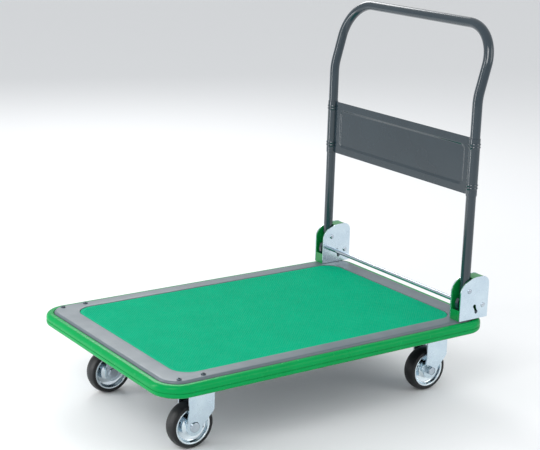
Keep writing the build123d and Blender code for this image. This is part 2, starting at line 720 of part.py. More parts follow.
def rear_axle_bolt(side):
    """The axle bolt of a swivel caster, its head outwards."""
    y = side * WHEEL_Y
    inner = y - side * (FORK_OUT + M12_NUT_H + THREAD_PROUD)
    low, high = sorted((inner, y + side * FORK_OUT))
    bolt = rod(AXLE_R, low, high, WHEEL_REAR_X, WHEEL_R)
    head = hexagon(M12_NUT_AF, 0, M12_NUT_H - THREAD_PROUD)
    return bolt + across_y(head, WHEEL_REAR_X, y + side * FORK_OUT, WHEEL_R, side)


def rear_axle_nut(side):
    """The nut on the inner end of the axle bolt."""
    y = side * (WHEEL_Y - FORK_OUT)
    nut = hexagon(M12_NUT_AF, 0, M12_NUT_H) - disc(AXLE_R, 0, M12_NUT_H)
    return across_y(nut, WHEEL_REAR_X, y, WHEEL_R, -side)


# ---- wheels ----

def spun(face, x, y):
    """Turn a face drawn as (radius, Y) about the wheel's axle, and place the result."""
    turned = revolve(face, Axis.Y)
    return Pos(x, y, WHEEL_R) * turned


def tyre(x, y):
    """A rubber tyre with a crowned tread and rounded shoulders."""
    half = TYRE_WIDTH / 2
    shoulder_r = WHEEL_R - 4.0
    bead_half = half - 2.0
    crown = ThreePointArc((shoulder_r, -half), (WHEEL_R, 0), (shoulder_r, half))
    flank = Polyline((shoulder_r, half), (RIM_LIP_R + 1.5, half), (RIM_LIP_R + 0.8, bead_half),
                     (RIM_SEAT_R, bead_half), (RIM_SEAT_R, -bead_half),
                     (RIM_LIP_R + 0.8, -bead_half), (RIM_LIP_R + 1.5, -half),
                     (shoulder_r, -half))
    face = make_face(crown + flank)
    shoulders = [v for v in face.vertices() if abs(v.X - shoulder_r) < 0.01]
    return spun(fillet(shoulders, 2.5), x, y)


def rim(x, y):
    """Two pressed steel halves back to back: hub collar, dish, flared lip and tyre seat."""
    half = TYRE_WIDTH / 2
    middle_r = RIM_SEAT_R - RIM_SHEET / 2
    lip_y = half - 1.0
    dish = Polyline((HUB_R + RIM_SHEET / 2, half), (HUB_R + RIM_SHEET / 2, RIM_DISH_Y),
                    (RIM_DISH_R, RIM_DISH_Y - 3.0), (RIM_DISH_R + 8.0, RIM_DISH_Y),
                    (middle_r, lip_y), (RIM_LIP_R - RIM_SHEET / 2, lip_y + 0.1))
    seat = Line((middle_r, 0), (middle_r, lip_y))
    pressed = trace(dish, RIM_SHEET) + trace(seat, RIM_SHEET)
    pressed = pressed & (Pos(0, TYRE_WIDTH) * Rectangle(4 * WHEEL_R, 2 * TYRE_WIDTH))
    shell = revolve(pressed, Axis.Y)
    for step in range(RIM_HOLES):
        hole = Pos(RIM_HOLE_PITCH_R, 0, 0) * rod(RIM_HOLE_R, 0, TYRE_WIDTH)
        shell -= Rot(0, RIM_HOLE_TURN + step * 360 / RIM_HOLES, 0) * hole
    shell = Pos(x, y, WHEEL_R) * shell
    return Compound(children=[shell, mirror(shell, about=Plane.XZ.offset(-y))])


def hub(x, y):
    """The wheel's hub sleeve, running on the axle."""
    half = FORK_GAP / 2 - SIDE_CLEAR
    sleeve = rod(HUB_R, y - half, y + half, x, WHEEL_R)
    return sleeve - rod(AXLE_R + RUNNING, y - half, y + half, x, WHEEL_R)


os.makedirs("parts", exist_ok=True)
save("deck_pan", deck_pan())
save("anti_slip_mat", anti_slip_mat())
save("edge_bumper", edge_bumper())
save("deck_screws", deck_screws())
save("deck_screw_nuts", deck_screw_nuts())
save("front_cross_member", cross_member(FRONT_PLATE_X, False))
save("rear_cross_member", cross_member(REAR_PLATE_X, True))
save("bracket_rivets", bracket_rivets())
save("bracket_bolts", bracket_bolts())
save("bracket_bolt_nuts", bracket_bolt_nuts())
save("pivot_shaft", pivot_shaft())
save("handle_tube", handle_tube())
save("foot_bushes", foot_bushes())
save("back_panel", back_panel())
save("front_axles", front_axles())
save("caster_bolts", caster_bolts())
save("caster_nuts", caster_nuts())
for word, side in SIDES.items():
    save(f"deck_rail_{word}", deck_rail(side))
    save(f"bracket_channel_{word}", bracket_channel(side))
    save(f"outer_cheek_{word}", cheek(side, inner=False))
    save(f"inner_cheek_{word}", cheek(side, inner=True))
    save(f"handle_foot_{word}", handle_foot(side))
    save(f"lock_pin_{word}", lock_pin(side))
    save(f"fixed_fork_{word}", fixed_fork(side))
    save(f"swivel_plate_{word}", swivel_plate(side))
    save(f"swivel_fork_{word}", swivel_fork(side))
    save(f"swivel_balls_{word}", swivel_balls(side))
    save(f"kingpin_{word}", kingpin(side))
    save(f"rear_axle_bolt_{word}", rear_axle_bolt(side))
    save(f"rear_axle_nut_{word}", rear_axle_nut(side))
    for end, wheel_x in (("front", WHEEL_FRONT_X), ("rear", WHEEL_REAR_X)):
        save(f"tyre_{end}_{word}", tyre(wheel_x, side * WHEEL_Y))
        save(f"rim_{end}_{word}", rim(wheel_x, side * WHEEL_Y))
        save(f"hub_{end}_{word}", hub(wheel_x, side * WHEEL_Y))
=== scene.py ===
# %% [markdown]
# # A folding platform cart
# The cart is a pressed steel deck on four casters, with a bent tube handle that folds down.
# The working frame comes ready, in metres, with every piece in its place. This lesson makes
# the visible pieces around it, one at a time: bent sheet, moulded rubber, turned parts, and
# the screws, rivets and studs that repeat. Every size below is either read from the frame or
# is a maker's size in millimetres.

# %% Load the frame
import math

import bmesh
import bpy
from mathutils import Matrix, Vector


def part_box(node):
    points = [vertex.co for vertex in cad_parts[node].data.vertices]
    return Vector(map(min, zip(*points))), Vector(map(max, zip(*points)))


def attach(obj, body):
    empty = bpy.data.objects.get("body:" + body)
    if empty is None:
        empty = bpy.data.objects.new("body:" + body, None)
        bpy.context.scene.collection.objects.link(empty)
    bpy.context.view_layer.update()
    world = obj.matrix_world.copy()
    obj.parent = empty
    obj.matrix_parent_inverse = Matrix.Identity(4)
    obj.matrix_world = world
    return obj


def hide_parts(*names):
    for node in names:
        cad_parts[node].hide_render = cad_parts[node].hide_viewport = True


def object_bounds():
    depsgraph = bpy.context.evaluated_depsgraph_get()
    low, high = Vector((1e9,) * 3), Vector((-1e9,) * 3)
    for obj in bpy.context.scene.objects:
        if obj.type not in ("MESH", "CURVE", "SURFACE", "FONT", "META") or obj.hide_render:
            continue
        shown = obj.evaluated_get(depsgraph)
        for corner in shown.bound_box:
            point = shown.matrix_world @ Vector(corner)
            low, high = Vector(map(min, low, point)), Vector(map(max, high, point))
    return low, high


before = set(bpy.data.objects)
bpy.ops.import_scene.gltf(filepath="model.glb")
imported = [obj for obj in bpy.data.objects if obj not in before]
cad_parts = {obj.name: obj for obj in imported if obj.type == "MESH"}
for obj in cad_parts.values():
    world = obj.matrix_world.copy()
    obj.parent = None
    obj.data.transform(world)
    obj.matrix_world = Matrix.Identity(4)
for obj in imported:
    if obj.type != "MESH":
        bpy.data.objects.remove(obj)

cad_low, cad_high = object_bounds()

# %% [markdown]
# ## Small tools
# A maker keeps a few jigs. One turns millimetres into metres. One turns a paint code into the
# linear numbers that a shader wants. One adds a node to a tree, sets it up and links it, for
# materials and Geometry Nodes alike, so that every tree below reads as a list of steps.

# %% Millimetres, colours and nodes
MM = 0.001
SIDES = ("left", "right")


def linear(code):
    """An sRGB hex code as linear red, green, blue and alpha."""
    parts = [int(code[i:i + 2], 16) / 255 for i in (0, 2, 4)]
    return [p / 12.92 if p <= 0.04045 else ((p + 0.055) / 1.055) ** 2.4 for p in parts] + [1.0]


def add_node(tree, kind, settings=None, inputs=None):
    """Add one node, set its properties, and set or link its inputs."""
    node = tree.nodes.new(kind)
    for name, value in (settings or {}).items():
        setattr(node, name, value)
    for socket, value in (inputs or {}).items():
        if isinstance(value, bpy.types.NodeSocket):
            tree.links.new(value, node.inputs[socket])
        else:
            node.inputs[socket].default_value = value
    return node


print("mid grey in linear:", [round(c, 3) for c in linear("808080")[:3]])

# %% [markdown]
# ## Skins, outlines and turned shapes
# Most of the cart is bent sheet, a swept section or a turned part. All three are the same
# thing to a mesh: rows of points joined into a skin. A sheet's corner is never sharp, so
# outlines are drawn with corner points and a radius, and `soften` puts the arcs in. A turned
# part is a skin too, with each row a ring about an axis, and a hexagon is a ring whose radius
# follows the flats. That is lighter and cleaner than cutting shapes out of each other.

# %% Skins
def made_from(name, work, finish):
    """A linked object with a finish from a bmesh, which is then freed."""
    mesh = bpy.data.meshes.new(name)
    work.to_mesh(mesh)
    work.free()
    mesh.materials.append(finish)
    piece = bpy.data.objects.new(name, mesh)
    bpy.context.scene.collection.objects.link(piece)
    return piece


def plain_mesh(name, points, faces, finish):
    """A linked object from points and faces, its doubles merged and its faces turned outwards."""
    work = bmesh.new()
    corners = [work.verts.new(p) for p in points]
    for face in faces:
        work.faces.new([corners[i] for i in face])
    bmesh.ops.remove_doubles(work, verts=work.verts, dist=0.0005 * MM)
    bmesh.ops.recalc_face_normals(work, faces=work.faces)
    return made_from(name, work, finish)


def skin_faces(rows, columns, round_rows=True, ring=False, capped=False):
    """Quads over a grid of rows and columns: rows may close on themselves, and so may the grid."""
    faces = []
    for row in range(rows if ring else rows - 1):
        for column in range(columns if round_rows else columns - 1):
            beside = (column + 1) % columns
            above = (row + 1) % rows
            faces.append([row * columns + column, row * columns + beside,
                          above * columns + beside, above * columns + column])
    if capped:
        faces.append(list(range(columns)))
        faces.append([(rows - 1) * columns + column for column in range(columns)])
    return faces


def skin(name, rows, finish, **shape):
    """One mesh over rows of points."""
    points = [point for row in rows for point in row]
    return plain_mesh(name, points, skin_faces(len(rows), len(rows[0]), **shape), finish)


def shade(piece, degrees=35):
    """Smooth shading that breaks at edges sharper than an angle."""
    piece.data.shade_smooth()
    piece.data.set_sharp_from_angle(angle=math.radians(degrees))
    return piece


def round_edges(piece, width, segments=3, degrees=32):
    """A live bevel that catches the light as a deburred edge does."""
    shade(piece, degrees)
    bevel = piece.modifiers.new("edges", "BEVEL")
    bevel.width = width
    bevel.segments = segments
    bevel.limit_method = "ANGLE"
    bevel.angle_limit = math.radians(degrees)
    bevel.harden_normals = True
    bevel.use_clamp_overlap = True
    return piece


def keep(piece, body, slot, *nodes):
    """The piece moves with a body and stands for frame nodes, which it hides; the slot is not used.
    """
    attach(piece, body)
    if nodes:
        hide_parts(*nodes)
    return piece


# %% Outlines and turned shapes
def soften(corners, closed=True, steps=5):
    """An outline from corners (x, y, radius), with an arc in place of each rounded corner."""
    outline = []
    last = len(corners) - 1
    for number, (x, y, radius) in enumerate(corners):
        if radius == 0 or (not closed and number in (0, last)):
            outline.append((x, y))
            continue
        here = Vector((x, y))
        before = (Vector(corners[number - 1][:2]) - here).normalized()
        after = (Vector(corners[(number + 1) % len(corners)][:2]) - here).normalized()
        half = before.angle(after) / 2
        centre = here + (before + after).normalized() * (radius / math.sin(half))
        first = here + before * (radius / math.tan(half)) - centre
        final = here + after * (radius / math.tan(half)) - centre
        begin = math.atan2(first.y, first.x)
        sweep = math.remainder(math.atan2(final.y, final.x) - begin, 2 * math.pi)
        for step in range(steps + 1):
            turn = begin + sweep * step / steps
            outline.append((centre.x + radius * math.cos(turn),
                            centre.y + radius * math.sin(turn)))
    return outline


def flats(apothem, turn):
    """The radius of a hexagon at an angle."""
    sixth = math.pi / 3
    return apothem / math.cos(math.remainder(turn, sixth))


def turned_rows(profile, steps=48, place=None):
    """Rings about Z for a profile of (radius, height) or (flat distance, height, round limit)."""
    rows = []
    for entry in profile:
        row = []
        for step in range(steps):
            turn = 2 * math.pi * step / steps
            radius = entry[0]
            if len(entry) == 3:
                radius = min(flats(entry[0], turn), entry[2])
            point = Vector((radius * math.cos(turn), radius * math.sin(turn), entry[1]))
            row.append(place @ point if place else point)
        rows.append(row)
    return rows


def facing(x, y, z, direction):
    """A matrix that stands a turned shape's Z along a direction, at a place."""
    turn = Vector(direction).to_track_quat("Z", "Y").to_matrix().to_4x4()
    return Matrix.Translation((x, y, z)) @ turn


def turned(name, profile, finish, place=None, ring=False, steps=48, degrees=35):
    """One turned piece: solid with flat ends, or a ring with a bore."""
    rows = turned_rows(profile, steps, place)
    return shade(skin(name, rows, finish, ring=ring, capped=not ring), degrees)


def merged(name, parts, finish):
    """Several objects as one mesh."""
    work = bmesh.new()
    for part in parts:
        work.from_mesh(part.data)
        bpy.data.objects.remove(part)
    return shade(made_from(name, work, finish))


def edged(node, finish, width):
    """A copy of a frame node with its triangles merged into whole faces and its edges rounded."""
    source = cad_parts[node].data
    work = bmesh.new()
    corners = [work.verts.new(v.co) for v in source.vertices]
    for face in source.polygons:
        if len(set(face.vertices)) == len(face.vertices):
            work.faces.new([corners[i] for i in face.vertices])
    bmesh.ops.remove_doubles(work, verts=work.verts, dist=0.002 * MM)
    bmesh.ops.dissolve_degenerate(work, edges=work.edges, dist=0.002 * MM)
    bmesh.ops.dissolve_limit(work, verts=work.verts, edges=work.edges,
                             angle_limit=math.radians(1.0))
    return round_edges(made_from(node + "_edged", work, finish), width)


print("a hexagon 13 mm across flats is", round(2 * flats(6.5, math.pi / 6), 2), "mm across corners")

# %% [markdown]
# ## Finishes
# Each finish is named for what it is made of. The colour of painted steel is nearly even, so
# what makes it look real is small: an orange-peel ripple about 2 mm wide from the spray, a
# slow drift in tone, and a gloss that is not the same everywhere. Patterns read Object
# coordinates, which are metres here, so a scale of 1000 divided by a size in millimetres
# gives features of that size.

# %% A finish to start from
def new_finish(name, **shader_values):
    """A material with its shader's plain values set, ready for patterns."""
    finish = bpy.data.materials.new(name)
    finish.use_nodes = True
    tree = finish.node_tree
    tree.nodes.clear()
    sockets = {key.replace("_", " "): value for key, value in shader_values.items()}
    shader = add_node(tree, "ShaderNodeBsdfPrincipled", inputs=sockets)
    add_node(tree, "ShaderNodeOutputMaterial", inputs={"Surface": shader.outputs["BSDF"]})
    place = add_node(tree, "ShaderNodeTexCoord").outputs["Object"]
    return finish, tree, shader, place


def patches(tree, place, size_mm, low, high, detail=3.0, start=0.3, end=0.7):
    """A number that drifts between two values, in soft patches about a given size."""
    noise = add_node(tree, "ShaderNodeTexNoise", inputs={
        "Vector": place, "Scale": 1000 / size_mm, "Detail": detail, "Roughness": 0.55})
    return add_node(tree, "ShaderNodeMapRange", inputs={
        "Value": noise.outputs["Fac"], "From Min": start, "From Max": end,
        "To Min": low, "To Max": high}).outputs["Result"]


def drifting_colour(tree, shader, share, code, second_code):
    """The base colour, from one code to another by a share between 0 and 1."""
    tones = add_node(tree, "ShaderNodeMix", {"data_type": "RGBA"},
                     {0: share, 6: linear(code), 7: linear(second_code)})
    tree.links.new(tones.outputs[2], shader.inputs["Base Color"])


def relief(tree, shader, layers):
    """Stacked bumps on the shader's normal: (place, size in mm, height in mm, detail) each."""
    normal = None
    for place, size_mm, height_mm, detail in layers:
        noise = add_node(tree, "ShaderNodeTexNoise", inputs={
            "Vector": place, "Scale": 1000 / size_mm, "Detail": detail, "Roughness": 0.5})
        inputs = {"Height": noise.outputs["Fac"], "Distance": height_mm * MM, "Strength": 1.0}
        if normal:
            inputs["Normal"] = normal
        normal = add_node(tree, "ShaderNodeBump", inputs=inputs).outputs["Normal"]
    tree.links.new(normal, shader.inputs["Normal"])


print("a 2 mm ripple needs a scale of", 1000 / 2)


# %% [markdown]
# ### Baked enamel
# The deck, the handle and the brackets are steel with a baked enamel coat. Enamel is a
# plastic-like skin over primer, so it is not metallic; it has a clear gloss and a faint
# orange peel. One function serves all three: colour, gloss and clear coat differ.

# %% Baked enamel
def baked_enamel(name, code, shade_code, gloss, coat):
    """Sprayed and baked paint: a slow drift in tone, a fine fleck and orange peel."""
    finish, tree, shader, place = new_finish(
        name, Metallic=0.0, IOR=1.5, Coat_Weight=coat, Coat_Roughness=0.08)
    drift = patches(tree, place, 140, 0.0, 0.9, 2.0)
    fleck = patches(tree, place, 3.0, 0.0, 0.10, 4.0)
    share = add_node(tree, "ShaderNodeMath", {"operation": "ADD", "use_clamp": True},
                     {0: drift, 1: fleck}).outputs[0]
    drifting_colour(tree, shader, share, code, shade_code)
    tree.links.new(patches(tree, place, 35, gloss - 0.04, gloss + 0.06),
                   shader.inputs["Roughness"])
    relief(tree, shader, [(place, 2.2, 0.008, 1.0), (place, 0.5, 0.0015, 1.0)])
    return finish


deck_enamel = baked_enamel("silver_grey_baked_enamel", "626E75", "58646B", 0.38, 0.05)
handle_enamel = baked_enamel("slate_grey_baked_enamel", "25343D", "1F2D36", 0.16, 0.35)
bracket_enamel = baked_enamel("green_baked_enamel", "008A40", "007F3A", 0.28, 0.15)
print("enamels:", deck_enamel.name, handle_enamel.name, bracket_enamel.name)


# %% [markdown]
# ### Bright zinc plate
# The cheeks, forks, wheel discs and screws are steel with a bright zinc plate: a true metal
# with a blue tint. Rolled sheet keeps a fine grain along its length, and the bath leaves
# cloudy patches a few centimetres wide, and the gloss drifts in smaller ones.

# %% Bright zinc plate
def zinc_plate(name, code, dull_code, rough):
    """Blue-bright zinc over steel: cloudy tone, uneven gloss and a fine rolling grain."""
    finish, tree, shader, place = new_finish(name, Metallic=1.0)
    drifting_colour(tree, shader, patches(tree, place, 38, 0.0, 1.0), code, dull_code)
    tree.links.new(patches(tree, place, 9, rough - 0.05, rough + 0.06, 4.0),
                   shader.inputs["Roughness"])
    stretch = add_node(tree, "ShaderNodeMapping", inputs={"Vector": place, "Scale": (1, 1, 0.06)})
    relief(tree, shader, [(place, 14, 0.008, 2.0), (stretch.outputs["Vector"], 0.6, 0.001, 2.0)])
    return finish


zinc = zinc_plate("bright_zinc_plate", "CFDFE8", "C2D3DF", 0.24)
disc_zinc = zinc_plate("bright_zinc_plate_on_pressings", "E2EDF2", "D4E0E8", 0.13)
zinc_screws = zinc_plate("zinc_plated_screw_steel", "C0CAD3", "A9B4BF", 0.22)
dark_screws = zinc_plate("black_zinc_plated_screw_steel", "59636A", "4A545B", 0.30)
bearing_steel = zinc_plate("ground_bearing_steel", "C9CCD0", "B4B8BD", 0.16)
print("metals:", zinc.name, zinc_screws.name, bearing_steel.name)


# %% [markdown]
# ### Rubber, vinyl and nylon
# Rubber and soft vinyl differ from paint by their edges of light: they scatter, so highlights
# are wide. The mat is a green rubber with a fine grain from its mould. The bumper is an
# extruded vinyl strip, smoother and glossier, with only a faint ripple. The tyres are black
# rubber that always carries a little grey bloom, and the nylon of the bushes is like them.

# %% Rubber, vinyl and nylon
def moulded_rubber(name, code, worn_code, rough, grain_mm, grain_depth, glint):
    """Rubber from a mould: grain, wide soft gloss and a pale bloom in patches."""
    finish, tree, shader, place = new_finish(
        name, Metallic=0.0, IOR=1.52, Specular_IOR_Level=glint)
    drifting_colour(tree, shader, patches(tree, place, 60, 0.0, 1.0, 2.0, 0.36, 0.74),
                    code, worn_code)
    tree.links.new(patches(tree, place, 12, rough - 0.05, rough + 0.07), shader.inputs["Roughness"])
    relief(tree, shader, [(place, grain_mm, grain_depth, 3.0)])
    return finish


mat_rubber = moulded_rubber("green_moulded_rubber", "00A47A", "00A97E", 0.60, 1.2, 0.04, 0.04)
tyre_rubber = moulded_rubber("black_tyre_rubber", "0D0F11", "181B1E", 0.45, 0.9, 0.03, 0.4)
bumper_vinyl = moulded_rubber("green_extruded_vinyl", "009048", "00964D", 0.22, 3.0, 0.004, 0.09)
bush_nylon = moulded_rubber("black_nylon", "1B1D1F", "26292B", 0.42, 1.0, 0.01, 0.4)
print("soft finishes:", mat_rubber.name, tyre_rubber.name, bumper_vinyl.name, bush_nylon.name)

# %% [markdown]
# ## The deck
# The deck is one sheet of steel, pressed in a single blow: a rolled rim, a short skirt, and
# a field sunk by the thickness of the mat. Cutting a box apart would leave hard corners, so
# the pan is a skin over rounded rectangles, from the middle of the field out over the rim and
# back in underneath. The radii are the ones a press can make in 2 mm sheet.

# %% Rounded rectangles
CORNER_STEPS = 14


def rounded_loop(half_x, half_y, radius, z, start_x=0.0, end_x=None):
    """A rounded rectangle, anticlockwise from a point on its -Y side."""
    loop = [Vector((start_x, -half_y, z))]
    for sign_x, sign_y, first in ((1, -1, -90), (1, 1, 0), (-1, 1, 90), (-1, -1, 180)):
        for step in range(CORNER_STEPS + 1):
            turn = math.radians(first + 90 * step / CORNER_STEPS)
            loop.append(Vector((sign_x * (half_x - radius) + radius * math.cos(turn),
                                sign_y * (half_y - radius) + radius * math.sin(turn), z)))
    if end_x is not None:
        loop.append(Vector((end_x, -half_y, z)))
    return loop


deck_low, deck_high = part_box("deck_pan")
mat_low, mat_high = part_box("anti_slip_mat")
DECK_HALF = (deck_high - deck_low) / 2
DECK_TOP = deck_high.z
DECK_CORNER = 42 * MM
SHEET = 2 * MM
MAT_GAP = 0.8 * MM
MAT_CORNER = 40.2 * MM
FIELD_HALF_X = mat_high.x + MAT_GAP
FIELD_HALF_Y = mat_high.y + MAT_GAP
FIELD_FLOOR = mat_low.z
FIELD_BORDER = 9 * MM
RIM_BORDER = 12 * MM
print("deck", [round(v * 2000) for v in DECK_HALF[:2]], "mm, top", round(DECK_TOP * 1000, 1), "mm")


# %% The pressed pan
def rim_ring(inset, z):
    """A loop that follows the deck's outside, less an inset."""
    return rounded_loop(DECK_HALF.x - inset, DECK_HALF.y - inset, DECK_CORNER - inset, z)


def field_ring(grow, z):
    """A loop that follows the sunk field, plus a growth."""
    radius = MAT_CORNER + MAT_GAP + grow
    return rounded_loop(FIELD_HALF_X + grow, FIELD_HALF_Y + grow, radius, z)


def pressed_pan():
    """The deck: field, border and rolled rim above, skirt and tray below."""
    under = DECK_TOP - SHEET
    tray = FIELD_FLOOR - SHEET
    field = soften([(-FIELD_BORDER, FIELD_FLOOR, 0), (0, FIELD_FLOOR, 0.5 * MM),
                    (0, DECK_TOP, 1.1 * MM), (FIELD_BORDER, DECK_TOP, 0)], closed=False)
    rim = soften([(RIM_BORDER, DECK_TOP, 0), (0, DECK_TOP, 6 * MM), (0, deck_low.z, 0.9 * MM),
                  (SHEET, deck_low.z, 0.9 * MM), (SHEET, under, 4 * MM), (RIM_BORDER, under, 0)],
                 closed=False, steps=7)
    below = soften([(FIELD_BORDER, under, 0), (SHEET, under, 0.8 * MM), (SHEET, tray, 1.6 * MM),
                    (-FIELD_BORDER, tray, 0)], closed=False)
    rows = [field_ring(grow, z) for grow, z in field]
    rows += [rim_ring(inset, z) for inset, z in rim]
    rows += [field_ring(grow, z) for grow, z in below]
    return shade(skin("pressed_deck_pan", rows, deck_enamel, capped=True), 50)


pan = keep(pressed_pan(), "deck", "deck_enamel", "deck_pan")
print("pan faces:", len(pan.data.polygons))

# %% [markdown]
# ## The bumper
# A soft vinyl strip is pushed round the skirt so that the deck can bump a wall quietly. It is
# an extrusion: one section, the same all the way round, with a butt joint on the left side.
# The section has a round shoulder above, a shallow groove, and a tucked-in lower lip. A skin
# swept round the deck, open at the joint and capped there, is exactly that.

# %% The extruded strip
bumper_low, bumper_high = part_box("edge_bumper")
BUMPER_OUT = bumper_high.x - DECK_HALF.x
SEAM_X = 19 * MM
SEAM_GAP = 0.5 * MM
GROOVE_UP = 10.5 * MM
GROOVE_WIDE = 1.8 * MM
GROOVE_DEEP = 1.3 * MM


def extruded_bumper():
    """The strip's section, swept round the skirt from one side of the joint to the other."""
    low = bumper_low.z
    high = bumper_high.z
    groove = low + GROOVE_UP
    groove_top = groove + GROOVE_WIDE
    groove_floor = BUMPER_OUT - GROOVE_DEEP
    section = soften([
        (0.05 * MM, low + 1 * MM, 0), (2 * MM, low, 0.8 * MM), (BUMPER_OUT, low, 6.5 * MM),
        (BUMPER_OUT, groove, 0.5 * MM), (groove_floor, groove, 0.4 * MM),
        (groove_floor, groove_top, 0.4 * MM), (BUMPER_OUT, groove_top, 0.5 * MM),
        (BUMPER_OUT, high, 9.5 * MM), (2.5 * MM, high, 1.5 * MM), (0.05 * MM, high - 3 * MM, 0)],
        steps=6)
    rows = []
    for out, z in section:
        rows.append(rounded_loop(DECK_HALF.x + out, DECK_HALF.y + out, DECK_CORNER + out, z,
                                 SEAM_X + SEAM_GAP / 2, SEAM_X - SEAM_GAP / 2))
    points = [point for row in rows for point in row]
    across = len(rows[0])
    faces = skin_faces(len(rows), across, round_rows=False, ring=True)
    faces.append([row * across for row in range(len(rows))])
    faces.append([row * across + across - 1 for row in range(len(rows))])
    return shade(plain_mesh("extruded_edge_bumper", points, faces, bumper_vinyl), 40)


bumper = keep(extruded_bumper(), "deck", "bumper_vinyl", "edge_bumper")
print("bumper stands out", round(BUMPER_OUT * 1000, 1), "mm, faces", len(bumper.data.polygons))

# %% [markdown]
# ## The anti-slip mat
# The mat is a rubber sheet moulded with rows of low lozenge studs, which grip a carton. More
# than ten thousand studs repeat on a rule, so Geometry Nodes lays them: a grid of points, each
# second row moved by half a step, the points outside the rounded field removed, and one
# small lozenge on each that is left. Bump alone would be flat at the sheet's edge.

# %% Running a tree and keeping its mesh
def tree_with(name, inputs):
    """A Geometry Nodes tree with named inputs, its group input and its output socket."""
    tree = bpy.data.node_groups.new(name, "GeometryNodeTree")
    tree.interface.new_socket("Geometry", in_out="INPUT", socket_type="NodeSocketGeometry")
    for label, kind in inputs.items():
        tree.interface.new_socket(label, in_out="INPUT", socket_type=kind)
    tree.interface.new_socket("Geometry", in_out="OUTPUT", socket_type="NodeSocketGeometry")
    return tree, tree.nodes.new("NodeGroupInput").outputs


def finish_tree(tree, geometry, finish):
    """The last steps of every tree: real geometry instead of instances, and a material."""
    real = add_node(tree, "GeometryNodeRealizeInstances", inputs={"Geometry": geometry})
    painted = add_node(tree, "GeometryNodeSetMaterial",
                       inputs={"Geometry": real.outputs["Geometry"], "Material": finish})
    add_node(tree, "NodeGroupOutput", inputs={"Geometry": painted.outputs["Geometry"]})


def grown(name, mesh, tree, values):
    """Run a tree on a mesh with some input values, and keep the result as a plain mesh."""
    host = bpy.data.objects.new(name, mesh)
    bpy.context.scene.collection.objects.link(host)
    modifier = host.modifiers.new("making", "NODES")
    modifier.node_group = tree
    for item in tree.interface.items_tree:
        if item.in_out == "INPUT" and item.name in values:
            modifier[item.identifier] = values[item.name]
    graph = bpy.context.evaluated_depsgraph_get()
    result = bpy.data.meshes.new_from_object(host.evaluated_get(graph), depsgraph=graph)
    host.modifiers.remove(modifier)
    host.data = result
    result.name = name
    return shade(host)


print("geometry trees so far:", len(bpy.data.node_groups))


# %% The stud tree
STUD_CREST = 0.26
STUD_FOOT = 0.5
STUD_SQUEEZE = 0.62


def stud_tree():
    """Lozenge studs on a staggered grid inside a rounded field."""
    tree, given = tree_with("lay_mat_studs", {
        "Field Size": "NodeSocketVector", "Corner": "NodeSocketFloat",
        "Pitch": "NodeSocketFloat", "Stud Width": "NodeSocketFloat",
        "Stud Height": "NodeSocketFloat", "Sunk": "NodeSocketFloat",
        "Top": "NodeSocketFloat", "Finish": "NodeSocketMaterial"})
    size = add_node(tree, "ShaderNodeSeparateXYZ", inputs={0: given["Field Size"]}).outputs
    counts = []
    for extent in (size["X"], size["Y"]):
        steps = add_node(tree, "ShaderNodeMath", {"operation": "DIVIDE"},
                         {0: extent, 1: given["Pitch"]}).outputs[0]
        counts.append(add_node(tree, "ShaderNodeMath", {"operation": "ROUND"},
                               {0: steps}).outputs[0])
    grids = []
    for shift in (0.0, 0.5):
        grid = add_node(tree, "GeometryNodeMeshGrid", inputs={
            "Size X": size["X"], "Size Y": size["Y"],
            "Vertices X": counts[0], "Vertices Y": counts[1]}).outputs["Mesh"]
        offset = add_node(tree, "ShaderNodeMath", {"operation": "MULTIPLY"},
                          {0: given["Pitch"], 1: shift}).outputs[0]
        move = add_node(tree, "ShaderNodeCombineXYZ",
                        inputs={"X": offset, "Y": offset, "Z": given["Top"]}).outputs[0]
        grids.append(add_node(tree, "GeometryNodeTransform",
                              inputs={"Geometry": grid, "Translation": move}).outputs[0])
    joined = add_node(tree, "GeometryNodeJoinGeometry")
    for grid in grids:
        tree.links.new(grid, joined.inputs[0])
    outside = field_test(tree, given)
    points = add_node(tree, "GeometryNodeDeleteGeometry", {"domain": "POINT"},
                      {"Geometry": joined.outputs[0], "Selection": outside}).outputs[0]
    crest = add_node(tree, "ShaderNodeMath", {"operation": "MULTIPLY"},
                     {0: given["Stud Width"], 1: STUD_CREST}).outputs[0]
    foot = add_node(tree, "ShaderNodeMath", {"operation": "MULTIPLY"},
                    {0: given["Stud Width"], 1: STUD_FOOT}).outputs[0]
    stud = add_node(tree, "GeometryNodeMeshCone", {"fill_type": "NGON"}, {
        "Vertices": 4, "Radius Top": crest, "Radius Bottom": foot,
        "Depth": given["Stud Height"]}).outputs["Mesh"]
    depth = add_node(tree, "ShaderNodeMath", {"operation": "MULTIPLY"},
                     {0: given["Sunk"], 1: -1.0}).outputs[0]
    lower = add_node(tree, "ShaderNodeCombineXYZ", inputs={"Z": depth}).outputs[0]
    stud = add_node(tree, "GeometryNodeTransform", inputs={
        "Geometry": stud, "Translation": lower, "Scale": (1.0, STUD_SQUEEZE, 1.0)}).outputs[0]
    placed = add_node(tree, "GeometryNodeInstanceOnPoints",
                      inputs={"Points": points, "Instance": stud}).outputs[0]
    both = add_node(tree, "GeometryNodeJoinGeometry")
    tree.links.new(given["Geometry"], both.inputs[0])
    tree.links.new(placed, both.inputs[0])
    finish_tree(tree, both.outputs[0], given["Finish"])
    return tree


